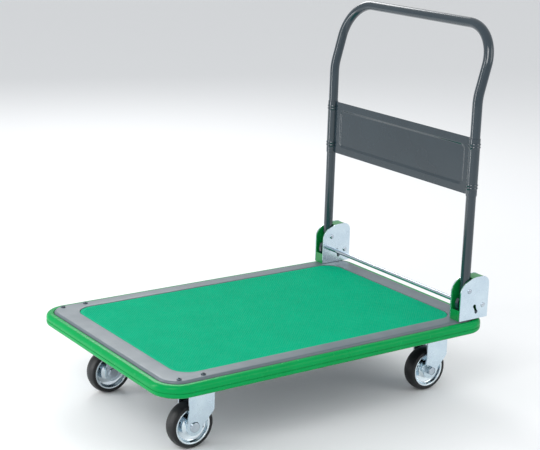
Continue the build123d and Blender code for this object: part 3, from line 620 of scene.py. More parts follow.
def field_test(tree, given):
    """True where a point lies outside the field's rounded rectangle."""
    place = add_node(tree, "GeometryNodeInputPosition").outputs[0]
    flat = add_node(tree, "ShaderNodeVectorMath", {"operation": "MULTIPLY"},
                    {0: place, 1: (1.0, 1.0, 0.0)}).outputs[0]
    away = add_node(tree, "ShaderNodeVectorMath", {"operation": "ABSOLUTE"}, {0: flat}).outputs[0]
    half = add_node(tree, "ShaderNodeVectorMath", {"operation": "SCALE"},
                    {0: given["Field Size"], "Scale": 0.5}).outputs[0]
    core = add_node(tree, "ShaderNodeCombineXYZ",
                    inputs={"X": given["Corner"], "Y": given["Corner"]}).outputs[0]
    inner = add_node(tree, "ShaderNodeVectorMath", {"operation": "SUBTRACT"},
                     {0: half, 1: core}).outputs[0]
    past = add_node(tree, "ShaderNodeVectorMath", {"operation": "SUBTRACT"},
                    {0: away, 1: inner}).outputs[0]
    past = add_node(tree, "ShaderNodeVectorMath", {"operation": "MAXIMUM"},
                    {0: past, 1: (0.0, 0.0, 0.0)}).outputs[0]
    reach = add_node(tree, "ShaderNodeVectorMath", {"operation": "LENGTH"}, {0: past}).outputs[1]
    return add_node(tree, "FunctionNodeCompare",
                    {"data_type": "FLOAT", "operation": "GREATER_THAN"},
                    {0: reach, 1: given["Corner"]}).outputs[0]


lay_mat_studs = stud_tree()
print("steps in the stud tree:", len(lay_mat_studs.nodes))

# %% The mat
STUD_PITCH = 6.4 * MM
STUD_WIDTH = 5.0 * MM
STUD_HEIGHT = 0.6 * MM
PLAIN_MARGIN = 6.5 * MM


def mat_sheet():
    """The mat's plain sheet, its top lower than the studs by their height."""
    top = mat_high.z - STUD_HEIGHT
    outline = soften([(-8 * MM, mat_low.z, 0), (0, mat_low.z, 0.3 * MM), (0, top, 0.8 * MM),
                      (-8 * MM, top, 0)], closed=False)
    rows = [rounded_loop(mat_high.x + grow, mat_high.y + grow, MAT_CORNER + grow, z)
            for grow, z in outline]
    return skin("mat_sheet", rows, mat_rubber, capped=True)


def studded_mat():
    """The sheet with its studs grown on."""
    sheet = mat_sheet()
    mesh = sheet.data
    bpy.data.objects.remove(sheet)
    sunk = STUD_HEIGHT * 0.25
    return grown("studded_rubber_mat", mesh, lay_mat_studs, {
        "Field Size": (2 * (mat_high.x - PLAIN_MARGIN), 2 * (mat_high.y - PLAIN_MARGIN), 0.0),
        "Corner": MAT_CORNER - PLAIN_MARGIN, "Pitch": STUD_PITCH, "Stud Width": STUD_WIDTH,
        "Stud Height": STUD_HEIGHT + sunk, "Sunk": sunk, "Top": mat_high.z - STUD_HEIGHT,
        "Finish": mat_rubber})


mat = keep(studded_mat(), "deck", "mat_rubber", "anti_slip_mat")
print("mat faces:", len(mat.data.polygons))

# %% [markdown]
# ## Frame members
# Two channels cross the deck and carry the casters, and two rails stiffen it between them.
# They are folded from flat sheet, and the frame's own shapes are right, so each is copied, its
# triangles merged into whole faces, and its folds given the radius of a press brake.

# %% Members and rails
FOLD_RADIUS = 1.2 * MM
for member in ("front_cross_member", "rear_cross_member", "deck_rail_left", "deck_rail_right"):
    keep(edged(member, deck_enamel, FOLD_RADIUS), "deck", "deck_enamel", member)
print("folds rounded to", round(FOLD_RADIUS * 1000, 1), "mm")

# %% [markdown]
# ## The handle
# The handle is one length of 22 mm tube: up each side, kicked back, and across the top. A tube
# bender makes straight runs joined by true arcs, so the path is corner points, and Geometry
# Nodes fillets each corner with its own radius and sweeps a circle along the result. The same
# tree would bend any other handle from its corner points.

# %% The bending tree
def bending_tree():
    """Fillet a polyline by each point's own radius and sweep a round tube along it."""
    tree, given = tree_with("bend_tube", {
        "Tube Radius": "NodeSocketFloat", "Sides": "NodeSocketInt",
        "Points Per Bend": "NodeSocketInt", "Finish": "NodeSocketMaterial"})
    line = add_node(tree, "GeometryNodeMeshToCurve", inputs={"Mesh": given["Geometry"]}).outputs[0]
    radius = add_node(tree, "GeometryNodeInputNamedAttribute", {"data_type": "FLOAT"},
                      {"Name": "bend_radius"}).outputs["Attribute"]
    bent = add_node(tree, "GeometryNodeFilletCurve", {"mode": "POLY"}, {
        "Curve": line, "Radius": radius, "Limit Radius": True,
        "Count": given["Points Per Bend"]})
    circle = add_node(tree, "GeometryNodeCurvePrimitiveCircle",
                      inputs={"Resolution": given["Sides"], "Radius": given["Tube Radius"]})
    tube = add_node(tree, "GeometryNodeCurveToMesh", inputs={
        "Curve": bent.outputs[0], "Profile Curve": circle.outputs["Curve"], "Fill Caps": True})
    finish_tree(tree, tube.outputs[0], given["Finish"])
    return tree


bend_tube = bending_tree()
print("steps in the bending tree:", len(bend_tube.nodes))

# %% The bent tube
handle_low, handle_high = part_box("handle_tube")
shaft_low, shaft_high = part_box("pivot_shaft")
TUBE_R = 11 * MM
POST_X = (shaft_low.x + shaft_high.x) / 2
PIVOT_Z = (shaft_low.z + shaft_high.z) / 2
POST_Y = handle_high.y - TUBE_R
GRIP_X = handle_high.x - TUBE_R
GRIP_Z = handle_high.z - TUBE_R
KICK_Z = 680 * MM
KICK_RADIUS = 120 * MM
CORNER_RADIUS = 84 * MM


def bent_handle():
    """The posts and the grip as one tube."""
    route = [((POST_X, -POST_Y, handle_low.z), 0.0), ((POST_X, -POST_Y, KICK_Z), KICK_RADIUS),
             ((GRIP_X, -POST_Y, GRIP_Z), CORNER_RADIUS), ((GRIP_X, POST_Y, GRIP_Z), CORNER_RADIUS),
             ((POST_X, POST_Y, KICK_Z), KICK_RADIUS), ((POST_X, POST_Y, handle_low.z), 0.0)]
    mesh = bpy.data.meshes.new("handle_route")
    mesh.from_pydata([place for place, _ in route], [(i, i + 1) for i in range(len(route) - 1)], [])
    radii = mesh.attributes.new("bend_radius", "FLOAT", "POINT")
    for point, (_, radius) in enumerate(route):
        radii.data[point].value = radius
    return grown("bent_handle_tube", mesh, bend_tube, {
        "Tube Radius": TUBE_R, "Sides": 48, "Points Per Bend": 24, "Finish": handle_enamel})


tube = keep(bent_handle(), "handle", "handle_enamel", "handle_tube")
print("tube top", round(max(v.co.z for v in tube.data.vertices) * 1000, 1), "mm of",
      round(handle_high.z * 1000, 1))

# %% [markdown]
# ## The back panel
# A thin sheet stiffens the handle. Its ends are rolled round the posts, two pairs of beads are
# pressed over each roll to grip the tube, and the middle is pressed out a little so that it
# doesn't drum. The panel is one skin again: a section like a dumb-bell at every height, where
# the sheet's line moves by the pressing and the roll's radius by the beads. The bores round
# the posts are skins of their own in the same mesh.

# %% The rolled panel
panel_low, panel_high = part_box("back_panel")
PANEL_SHEET = 1.2 * MM
ROLL_R = TUBE_R + 1.25 * MM
BORE_R = TUBE_R + 0.03 * MM
BORE_STEPS = 48
ROLL_STEPS = 30
BEAD_OUT = 1.25 * MM
BEAD_UP = (17.3 * MM, 23.7 * MM, 107.3 * MM, 113.7 * MM)
BEAD_HALF = 1.7 * MM
FIELD_INSET = 17 * MM
FIELD_DEPTH = 2.4 * MM
FIELD_CORNER = 14 * MM
PRESS_WIDTH = 5 * MM
FINE_STEP = 1.5 * MM
HEIGHT_STEP = 0.9 * MM


def ease(value):
    """A soft step from 0 to 1."""
    value = min(max(value, 0.0), 1.0)
    return value * value * (3 - 2 * value)


def pressed_out(y, z):
    """How far the panel's field stands out at a place."""
    middle = (panel_low.z + panel_high.z) / 2
    half_y = POST_Y - ROLL_R - FIELD_INSET
    half_z = (panel_high.z - panel_low.z) / 2 - FIELD_INSET
    past_y = max(abs(y) - half_y + FIELD_CORNER, 0.0)
    past_z = max(abs(z - middle) - half_z + FIELD_CORNER, 0.0)
    inside = FIELD_CORNER - math.hypot(past_y, past_z)
    return FIELD_DEPTH * ease(inside / PRESS_WIDTH)


def bead_out(z):
    """How far the roll's beads, two and two, stand out at a height."""
    height = z - panel_low.z
    return BEAD_OUT * sum(math.exp(-((height - up) / BEAD_HALF) ** 2) for up in BEAD_UP)


def panel_stations():
    """Places across the panel, close together where the pressing turns."""
    half = POST_Y - ROLL_R - FIELD_INSET
    sheet_end = POST_Y - ROLL_R * math.cos(math.asin(PANEL_SHEET / 2 / ROLL_R))
    near = [sheet_end, half + 4 * MM] + [half + 2 * MM - FINE_STEP * i for i in range(14)]
    coarse = [near[-1] * (1 - i / 12) for i in range(1, 13)]
    right = near + coarse
    return [-y for y in right[:-1]] + right[::-1]


def panel_heights():
    """Heights up the panel, evenly spaced at a fine step."""
    count = round((panel_high.z - panel_low.z) / HEIGHT_STEP)
    return [panel_low.z + (panel_high.z - panel_low.z) * i / count for i in range(count + 1)]


def panel_section(z):
    """The dumb-bell outline at one height."""
    stations = panel_stations()
    roll = ROLL_R + bead_out(z)
    gap = math.asin(PANEL_SHEET / 2 / roll)
    front = [Vector((POST_X - PANEL_SHEET / 2 + pressed_out(y, z), y, z)) for y in stations]
    back = [Vector((POST_X + PANEL_SHEET / 2 + pressed_out(y, z), y, z)) for y in stations]
    rolls = {}
    for side in (1, -1):
        rolls[side] = []
        for step in range(1, ROLL_STEPS):
            turn = gap + (2 * math.pi - 2 * gap) * step / ROLL_STEPS
            rolls[side].append(Vector((POST_X - side * roll * math.sin(turn),
                                       side * (POST_Y - roll * math.cos(turn)), z)))
    return front + rolls[1] + back[::-1] + rolls[-1]


# %% Skinning the panel, with its bores
def rolled_panel():
    """Outside skin, two bores, and the flat rims between them."""
    heights = panel_heights()
    work = bmesh.new()
    outside = [[work.verts.new(p) for p in panel_section(z)] for z in heights]
    walls = [outside]
    for side in (-1, 1):
        bore = []
        for z in (heights[0], heights[-1]):
            ring = []
            for step in range(BORE_STEPS):
                turn = 2 * math.pi * step / BORE_STEPS
                ring.append(work.verts.new((POST_X + BORE_R * math.cos(turn),
                                            side * POST_Y + BORE_R * math.sin(turn), z)))
            bore.append(ring)
        walls.append(bore)
    for wall in walls:
        count = len(wall[0])
        for lower, upper in zip(wall, wall[1:]):
            for i in range(count):
                work.faces.new((lower[i], lower[(i + 1) % count], upper[(i + 1) % count], upper[i]))
    for end in (0, -1):
        rim_edges = []
        for wall in walls:
            ring = wall[end]
            for i in range(len(ring)):
                rim_edges.append(work.edges.get((ring[i], ring[(i + 1) % len(ring)])))
        bmesh.ops.triangle_fill(work, edges=rim_edges, use_beauty=True)
    bmesh.ops.recalc_face_normals(work, faces=work.faces)
    return shade(made_from("rolled_back_panel", work, handle_enamel), 40)


panel = keep(rolled_panel(), "handle", "handle_enamel", "back_panel")
print("panel faces:", len(panel.data.polygons))

# %% [markdown]
# ## Brackets and feet
# Each post stands in a bracket: a green channel between two zinc cheeks, with a forged foot
# inside that turns on the shaft. These are cut and folded to the frame's exact shapes, because
# the lock works by them, so they are edged copies. The cheeks' bevel matters most: a punched
# edge on zinc catches the light as a thin bright line.

# %% Channels, cheeks and feet
BRACKET_PARTS = (("bracket_channel_", bracket_enamel, 0.8 * MM, "deck", "bracket_enamel"),
                 ("outer_cheek_", zinc, 0.45 * MM, "deck", "zinc_plate"),
                 ("inner_cheek_", zinc, 0.45 * MM, "deck", "zinc_plate"),
                 ("handle_foot_", handle_enamel, 0.5 * MM, "handle", "handle_enamel"))
for side in SIDES:
    for part, finish, edge_round, body, slot in BRACKET_PARTS:
        keep(edged(part + side, finish, edge_round), body, slot, part + side)
low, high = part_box("outer_cheek_left")
print("an outer cheek is", round((high.x - low.x) * 1000), "mm wide at its foot")

# %% [markdown]
# ## Shaft, pins and bushes
# These are bar-turned parts: a shaft across the deck, two lock pins, and flanged nylon bushes.
# A lathe tool leaves a chamfer at each end, which a profile of four points gives.

# %% Turned bars
def bar(name, finish, low, high, chamfer):
    """A round bar along Y that fills a frame box, with chamfered ends."""
    radius = (high.z - low.z) / 2
    length = high.y - low.y
    profile = [(radius - chamfer, 0), (radius, chamfer), (radius, length - chamfer),
               (radius - chamfer, length)]
    place = facing((low.x + high.x) / 2, low.y, (low.z + high.z) / 2, (0, 1, 0))
    return turned(name, profile, finish, place)


keep(bar("cross_shaft", zinc_screws, shaft_low, shaft_high, 0.8 * MM), "deck", "zinc_plate",
     "pivot_shaft")
for side in SIDES:
    low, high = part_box("lock_pin_" + side)
    keep(bar("cross_lock_pin_" + side, dark_screws, low, high, 0.6 * MM), "lock_pin_" + side,
         "zinc_plate", "lock_pin_" + side)


bush_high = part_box("foot_bushes")[1]
BUSH_BORE_R = 5.05 * MM
BUSH_R = 7 * MM
BUSH_FLANGE_R = 9 * MM
BUSH_FLANGE = 1 * MM
BUSH_HALF = bush_high.y - POST_Y - BUSH_FLANGE


def flanged_bush(post_y, reach):
    """Half of a foot's bearing: a sleeve with a flange outside."""
    end = BUSH_HALF + BUSH_FLANGE
    profile = soften([(BUSH_BORE_R, 0, 0), (BUSH_R, 0, 0), (BUSH_R, BUSH_HALF, 0),
                      (BUSH_FLANGE_R, BUSH_HALF, 0.2 * MM), (BUSH_FLANGE_R, end, 0.3 * MM),
                      (BUSH_BORE_R, end, 0.2 * MM)], steps=3)
    place = facing(POST_X, post_y, PIVOT_Z, (0, reach, 0))
    return turned("bush", profile, bush_nylon, place, ring=True, steps=32)


bushes = [flanged_bush(side * POST_Y, reach) for side in (-1, 1) for reach in (-1, 1)]
keep(merged("nylon_foot_bushes", bushes, bush_nylon), "handle", "bush_nylon", "foot_bushes")
print("shaft length", round((shaft_high.y - shaft_low.y) * 1000), "mm")

# %% [markdown]
# ## Screws, rivets, bolts and nuts
# Each kind of fastener is modelled once as a few rings, upright, with its seat at the origin.
# A tree then sets it on points: every point says which way the fastener faces, and a seeded
# random turn leaves the hexagons at different angles, as a fitter does. The frame's own nodes
# give the number and places; their joined solids are found by their loose parts.

# %% Places of a node's separate solids
def solids(node):
    """The box of each separate solid in a frame node, as (low, high) pairs."""
    work = bmesh.new()
    work.from_mesh(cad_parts[node].data)
    bmesh.ops.remove_doubles(work, verts=work.verts, dist=0.002 * MM)
    seen = set()
    boxes = []
    for start in work.verts:
        if start in seen:
            continue
        seen.add(start)
        stack = [start]
        members = []
        while stack:
            vertex = stack.pop()
            members.append(vertex.co)
            for edge in vertex.link_edges:
                other = edge.other_vert(vertex)
                if other not in seen:
                    seen.add(other)
                    stack.append(other)
        low = Vector([min(co[i] for co in members) for i in range(3)])
        high = Vector([max(co[i] for co in members) for i in range(3)])
        boxes.append((low, high))
    work.free()
    return boxes


# %% The setting tree
def setting_tree():
    """Set a fastener on every point, along the point's own facing, with a random turn."""
    tree, given = tree_with("set_fasteners", {
        "Fastener": "NodeSocketObject", "Seed": "NodeSocketInt", "Finish": "NodeSocketMaterial"})
    model = add_node(tree, "GeometryNodeObjectInfo", inputs={"Object": given["Fastener"]})
    towards = add_node(tree, "GeometryNodeInputNamedAttribute", {"data_type": "FLOAT_VECTOR"},
                       {"Name": "facing"}).outputs["Attribute"]
    upright = add_node(tree, "FunctionNodeAlignRotationToVector", {"axis": "Z"},
                       {"Vector": towards}).outputs[0]
    angle = add_node(tree, "FunctionNodeRandomValue", {"data_type": "FLOAT"}, {
        2: 0.0, 3: math.pi / 3, "Seed": given["Seed"]}).outputs[1]
    about = add_node(tree, "ShaderNodeCombineXYZ", inputs={"Z": angle}).outputs[0]
    about = add_node(tree, "FunctionNodeEulerToRotation", inputs={0: about}).outputs[0]
    turn = add_node(tree, "FunctionNodeRotateRotation", {"rotation_space": "LOCAL"},
                    {0: upright, 1: about}).outputs[0]
    placed = add_node(tree, "GeometryNodeInstanceOnPoints", inputs={
        "Points": given["Geometry"], "Instance": model.outputs["Geometry"], "Rotation": turn})
    finish_tree(tree, placed.outputs[0], given["Finish"])
    return tree


set_fasteners = setting_tree()


def place_all(name, model, places, finish, seed):
    """Bake one mesh of a fastener at every (point, facing), and drop the model."""
    mesh = bpy.data.meshes.new(name)
    mesh.from_pydata([point for point, _ in places], [], [])
    ways = mesh.attributes.new("facing", "FLOAT_VECTOR", "POINT")
    for number, (_, way) in enumerate(places):
        ways.data[number].vector = way
    piece = grown(name, mesh, set_fasteners, {"Fastener": model, "Seed": seed, "Finish": finish})
    bpy.data.objects.remove(model)
    return piece


def fasten(node, name, model, places, seed, finish=zinc_screws):
    """Fasteners that stay with the deck, in place of a frame node's."""
    return keep(place_all(name, model, places, finish, seed), "deck", "zinc_plate", node)


print("steps in the setting tree:", len(set_fasteners.nodes))


# %% Fastener shapes
HEX_CORNER = 1.155
THREAD_PITCH = 1.25 * MM
THREAD_ROOT = 0.90
END_POINT = 0.15


def thread(radius, low, high):
    """A threaded end as plain ridges, cut to a root that is a share of the radius."""
    ridges = []
    count = max(int((high - low) / THREAD_PITCH), 1)
    for number in range(count):
        foot = low + (high - low) * number / count
        ridges.append((radius, foot))
        ridges.append((radius * THREAD_ROOT, foot + (high - low) / count / 2))
    return ridges + [(radius, high)]


def hex_nut(across, bore, height):
    """A chamfered nut, upright on its seat."""
    flat = across / 2
    corner = flat * HEX_CORNER
    cut = (corner - flat * 0.97) * 0.6
    profile = [(bore, 0), (flat, 0, flat * 0.97), (flat, cut, corner), (flat, height - cut, corner),
               (flat, height, flat * 0.97), (bore * 1.15, height), (bore, height - bore * 0.15)]
    return turned("hex_nut", profile, zinc_screws, ring=True, steps=36, degrees=25)


def hex_bolt(across, height, radius, length):
    """A hexagon head above its seat, and a shank with a threaded end below it."""
    flat = across / 2
    corner = flat * HEX_CORNER
    cut = (corner - flat * 0.96) * 0.6
    profile = [(radius * 0.82, -length - radius * END_POINT)]
    profile += thread(radius, -length, -length * 0.45)
    profile += [(radius, -length * 0.4), (radius, 0), (flat, 0, flat * 0.97), (flat, cut, corner),
                (flat, height - cut, corner), (flat, height, flat * 0.96), (flat * 0.9, height),
                (flat * 0.86, height * 0.88), (0.1 * MM, height * 0.86)]
    return turned("hex_bolt", profile, zinc_screws, steps=36, degrees=25)


def socket_screw(head_r, head_h, socket, radius, length):
    """A button head with a hexagon socket, and its shank."""
    dome = [(head_r, head_h * 0.25)]
    for step in range(1, 7):
        turn = math.pi / 2 * step / 7
        dome.append((head_r * (0.55 + 0.45 * math.cos(turn)),
                     head_h * (0.25 + 0.75 * math.sin(turn))))
    profile = [(radius * 0.8, -length), (radius, -length + radius * 0.2), (radius, 0),
               (head_r * 0.97, 0)]
    profile += dome + [(head_r * 0.55, head_h), (socket * 0.53, head_h, socket),
                       (socket / 2, head_h - 0.2 * MM, socket), (socket / 2, head_h * 0.4, socket),
                       (0.1 * MM, head_h * 0.3)]
    return turned("socket_screw", profile, zinc_screws, steps=36, degrees=30)


def dome_rivet(head_r, head_h, shank_r, grip):
    """A low dome with a small set-down rim, and its shank."""
    profile = [(shank_r, -grip), (shank_r, 0), (head_r, 0), (head_r, head_h * 0.16)]
    for step in range(1, 9):
        turn = math.pi / 2 * step / 9
        profile.append((head_r * 0.97 * math.cos(turn), head_h * (0.16 + 0.84 * math.sin(turn))))
    return turned("dome_rivet", profile + [(0.05 * MM, head_h)], zinc_screws, steps=32, degrees=40)


trial = hex_bolt(13 * MM, 4.6 * MM, 4 * MM, 20 * MM)
print("one bolt has", len(trial.data.polygons), "faces")
bpy.data.objects.remove(trial)

# %% Deck screws and their nuts
UP = (0, 0, 1)
DOWN = (0, 0, -1)


def tops(node, seat):
    """Points on a seat's height above each solid of a node, facing up."""
    return [(((low.x + high.x) / 2, (low.y + high.y) / 2, seat), UP) for low, high in solids(node)]


M5_R = 2.5 * MM
M5_HEAD_R = 5.2 * MM
M5_NUT_AF = 8 * MM
SOCKET_AF = 5 * MM
screw_low, screw_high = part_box("deck_screws")
screw = socket_screw(M5_HEAD_R, screw_high.z - DECK_TOP, SOCKET_AF, M5_R, DECK_TOP - screw_low.z)
fasten("deck_screws", "deck_pan_screws", screw, tops("deck_screws", DECK_TOP), 1, dark_screws)
nut_low, nut_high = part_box("deck_screw_nuts")
nut = hex_nut(M5_NUT_AF, M5_R, nut_high.z - nut_low.z)
fasten("deck_screw_nuts", "deck_screw_hex_nuts", nut, tops("deck_screw_nuts", nut_low.z), 2)
print("deck screws:", len(solids("deck_screws")))

# %% Bracket bolts, nuts and rivets
bolt_low, bolt_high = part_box("bracket_bolts")
M6_R = 3 * MM
M6_HEAD_R = 5.5 * MM
M6_HEAD = 3.4 * MM
M6_NUT_AF = 10 * MM
seat = bolt_high.z - M6_HEAD
bolt = socket_screw(M6_HEAD_R, M6_HEAD, SOCKET_AF, M6_R, seat - bolt_low.z)
fasten("bracket_bolts", "bracket_button_bolts", bolt, tops("bracket_bolts", seat), 3)
nut_low, nut_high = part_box("bracket_bolt_nuts")
nut = hex_nut(M6_NUT_AF, M6_R, nut_high.z - nut_low.z)
fasten("bracket_bolt_nuts", "bracket_hex_nuts", nut, tops("bracket_bolt_nuts", nut_low.z), 4)

RIVET_HEAD = 2.6 * MM
RIVET_HEAD_R = 5.6 * MM
RIVET_R = 3 * MM
RIVET_GRIP = 4.2 * MM
rivet_points = []
for low, high in solids("bracket_rivets"):
    centre = (low + high) / 2
    outward = 1 if abs(centre.y) > POST_Y else -1
    way = outward * (1 if centre.y > 0 else -1)
    head_y = (high.y - RIVET_HEAD) if way > 0 else (low.y + RIVET_HEAD)
    rivet_points.append(((centre.x, head_y, centre.z), (0, way, 0)))
rivet = dome_rivet(RIVET_HEAD_R, RIVET_HEAD, RIVET_R, RIVET_GRIP)
fasten("bracket_rivets", "bracket_dome_rivets", rivet, rivet_points, 5)
print("rivets:", len(rivet_points))

# %% Caster bolts and nuts
bolt_low, bolt_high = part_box("caster_bolts")
M8_R = 4 * MM
M8_HEAD = 4.6 * MM
M8_AF = 13 * MM
bolt_points = [(((low.x + high.x) / 2, (low.y + high.y) / 2, bolt_low.z + M8_HEAD), DOWN)
               for low, high in solids("caster_bolts")]
bolt = hex_bolt(M8_AF, M8_HEAD, M8_R, bolt_high.z - bolt_low.z - M8_HEAD)
fasten("caster_bolts", "caster_hex_bolts", bolt, bolt_points, 6)
nut_low, nut_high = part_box("caster_nuts")
nut = hex_nut(M8_AF, M8_R, nut_high.z - nut_low.z)
fasten("caster_nuts", "caster_hex_nuts", nut, tops("caster_nuts", nut_low.z), 7)
print("caster bolts:", len(bolt_points))

# %% [markdown]
# ## Caster forks
# A fork is one strip of 2.8 mm sheet bent into a hairpin over the wheel: two legs narrowing to
# a round tip about the axle, with a soft bend at each shoulder. So it is a skin over stations
# along the strip, from one tip up over the crown to the other, where each station knows its
# front and rear edge. The swivelling forks also have a folded lip along the front edge.

# %% A bent strip fork
FORK_SHEET = 2.8 * MM
HALF_GAP = 19 * MM
FORK_BEND = 7 * MM
LIP_OUT = 2.2 * MM
LIP_WIDE = 5 * MM
tyre_low, tyre_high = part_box("tyre_front_left")
AXLE_Z = (tyre_low.z + tyre_high.z) / 2
TIP_R = 19 * MM
SHOULDER_Z = 79 * MM
LEG_FRONT = 14 * MM
LEG_REAR = 46 * MM
LEG_COLUMNS = 15


def leg_edges(z, axle_x):
    """The front and rear edges of a leg at a height."""
    front, rear = axle_x - LEG_FRONT, axle_x + LEG_REAR
    if z >= SHOULDER_Z:
        return front, rear
    if z <= AXLE_Z:
        half = math.sqrt(max(TIP_R ** 2 - (z - AXLE_Z) ** 2, 0.0))
        return axle_x - half, axle_x + half
    share = (z - AXLE_Z) / (SHOULDER_Z - AXLE_Z)
    return (axle_x - TIP_R + (front - axle_x + TIP_R) * share,
            axle_x + TIP_R + (rear - axle_x - TIP_R) * share)


def leg_path(top):
    """The strip's outer face in (across, up): tip, leg, bend, to the middle of the crown."""
    out = HALF_GAP + FORK_SHEET
    path = []
    for step in range(9):
        turn = math.radians(86 * (1 - step / 8))
        path.append((out, AXLE_Z - TIP_R * math.sin(turn), 0))
    straight = top - FORK_BEND
    for step in range(1, 13):
        path.append((out, AXLE_Z + (straight - AXLE_Z) * step / 12, 0))
    for step in range(1, 8):
        turn = math.radians(90 * step / 7)
        path.append((out - FORK_BEND + FORK_BEND * math.cos(turn),
                     straight + FORK_BEND * math.sin(turn), turn))
    path.append((0.0, top, math.pi / 2))
    return path


def strip_fork(axle_x, centre_y, top, lip):
    """A hairpin of sheet: stations from one tip over the crown to the other."""
    half = leg_path(top)
    stations = [(1, across, up, turn) for across, up, turn in half]
    stations += [(-1, across, up, turn) for across, up, turn in half[-2::-1]]
    rows = []
    for side, across, up, turn in stations:
        front, rear = leg_edges(up, axle_x)
        outer, inner = [], []
        for column in range(LEG_COLUMNS + 1):
            x = front + (rear - front) * column / LEG_COLUMNS
            grow = lip * LIP_OUT * (1 - ease((x - front) / LIP_WIDE)) * math.cos(turn)
            grow *= ease((up - AXLE_Z + TIP_R * 0.4) / (20 * MM))
            normal = (side * math.cos(turn), math.sin(turn))
            y = centre_y + side * across + normal[0] * grow
            outer.append(Vector((x, y, up)))
            inner.append(Vector((x, y - normal[0] * FORK_SHEET, up - normal[1] * FORK_SHEET)))
        rows.append(outer + inner[::-1])
    return round_edges(skin("fork", rows, zinc, capped=True), 0.5 * MM, 2, 40)


shoulder = leg_edges(SHOULDER_Z, 0.0)
print("leg width at the shoulder:", round((shoulder[1] - shoulder[0]) * 1000), "mm")


# %% Plates and the fixed forks
PLATE_SHEET = 3 * MM
PLATE_CORNER = 8 * MM


def plate_slab(low, high):
    """A flat plate with rounded corners, centred on a box."""
    centre = (low + high) / 2
    half = (high - low) / 2
    outline = soften([(-4 * MM, high.z - PLATE_SHEET, 0), (0, high.z - PLATE_SHEET, 0.5 * MM),
                      (0, high.z, 0.5 * MM), (-4 * MM, high.z, 0)], closed=False, steps=3)
    rows = []
    for grow, z in outline:
        loop = rounded_loop(half.x + grow, half.y + grow, PLATE_CORNER + grow, z)
        rows.append([point + Vector((centre.x, centre.y, 0)) for point in loop])
    return shade(skin("plate", rows, zinc, capped=True), 40)


for side in SIDES:
    node = "fixed_fork_" + side
    low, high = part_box(node)
    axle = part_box("tyre_front_" + side)
    axle_x = (axle[0].x + axle[1].x) / 2
    centre_y = (axle[0].y + axle[1].y) / 2
    plate = plate_slab(low, high)
    fork = strip_fork(axle_x, centre_y, high.z - PLATE_SHEET, 0.0)
    both = merged("fixed_caster_fork_" + side, [plate, fork], zinc)
    keep(round_edges(both, 0.5 * MM, 2, 40), "deck", "zinc_plate", node)
print("fork tip at", round((AXLE_Z - TIP_R) * 1000, 1), "mm, plate top", round(high.z * 1000, 1))

# %% Swivel plates, forks, king pins and balls
RACE_R = 26 * MM
CROWN_DISC = 3 * MM
PIN_R = 6 * MM
PIN_HEAD_R = 10.5 * MM
PIN_HEAD = 3 * MM


def race_cup(x, y, low, high):
    """A pressed race under a plate: a round cup with a rolled rim, open downwards."""
    height = high - low
    profile = soften([(6.1 * MM, 0, 0), (RACE_R, 0, 1.4 * MM), (RACE_R, height, 0.6 * MM),
                      (RACE_R - 2.5 * MM, height, 0.6 * MM), (RACE_R - 3 * MM, 2 * MM, 1 * MM),
                      (6.1 * MM, 2 * MM, 0)], steps=4)
    return turned("race", profile, zinc, facing(x, y, high, DOWN), ring=True, steps=64)


for side in SIDES:
    body = "swivel_" + side
    low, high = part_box("swivel_plate_" + side)
    x = (low.x + high.x) / 2
    y = (low.y + high.y) / 2
    plate = plate_slab(low, high)
    cup = race_cup(x, y, low.z, high.z - PLATE_SHEET)
    keep(merged("swivel_top_plate_" + side, [plate, cup], zinc), "deck", "zinc_plate",
         "swivel_plate_" + side)
    low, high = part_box("swivel_fork_" + side)
    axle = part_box("tyre_rear_" + side)
    axle_x = (axle[0].x + axle[1].x) / 2
    fork = strip_fork(axle_x, y, high.z, 1.0)
    disc = soften([(0.1 * MM, 0, 0), (RACE_R, 0, 1 * MM), (RACE_R, CROWN_DISC, 1 * MM),
                   (0.1 * MM, CROWN_DISC, 0)], closed=False, steps=4)
    crown = turned("crown", disc, zinc, facing(x, y, high.z - CROWN_DISC, UP), steps=64)
    both = merged("swivel_caster_fork_" + side, [fork, crown], zinc)
    keep(round_edges(both, 0.5 * MM, 2, 40), body, "zinc_plate", "swivel_fork_" + side)
    low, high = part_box("kingpin_" + side)
    foot, neck = low.z + PIN_HEAD, high.z - PIN_HEAD
    pin = soften([(3 * MM, low.z, 0), (9.5 * MM, low.z, 1 * MM), (PIN_HEAD_R, foot, 0.3 * MM),
                  (PIN_R, foot, 0), (PIN_R, neck, 0), (PIN_HEAD_R, neck, 0.3 * MM),
                  (10.2 * MM, high.z, 0.8 * MM), (1 * MM, high.z, 0)], closed=False, steps=4)
    keep(turned("riveted_king_pin_" + side, pin, zinc_screws, facing(x, y, 0, UP), steps=40), body,
         "zinc_plate", "kingpin_" + side)
print("swivel centre at", round(x * 1000), round(y * 1000), "mm")

# %% Ball rings
BALL_R = 2.5 * MM
for side, seed in (("left", 8), ("right", 9)):
    node = "swivel_balls_" + side
    centres = [(tuple((low + high) / 2), UP) for low, high in solids(node)]
    arc = [(max(BALL_R * math.sin(math.pi * i / 8), 0.01 * MM), -BALL_R * math.cos(math.pi * i / 8))
           for i in range(9)]
    ball = turned("ball", arc, bearing_steel, steps=14)
    keep(place_all("ball_ring_" + side, ball, centres, bearing_steel, seed), "swivel_" + side,
         "bearing_steel", node)
print("balls to a ring:", len(centres))

# %% [markdown]
# ## Axles
# The fixed casters have a riveted axle with a wide flat head. The swivelling ones have a bolt
# and a nut, which can be changed. Both kinds are turned shapes along Y.

# %% Axles, axle bolts and nuts
AXLE_R = 6 * MM
AXLE_HEAD_R = 11.5 * MM
M12_AF = 18 * MM


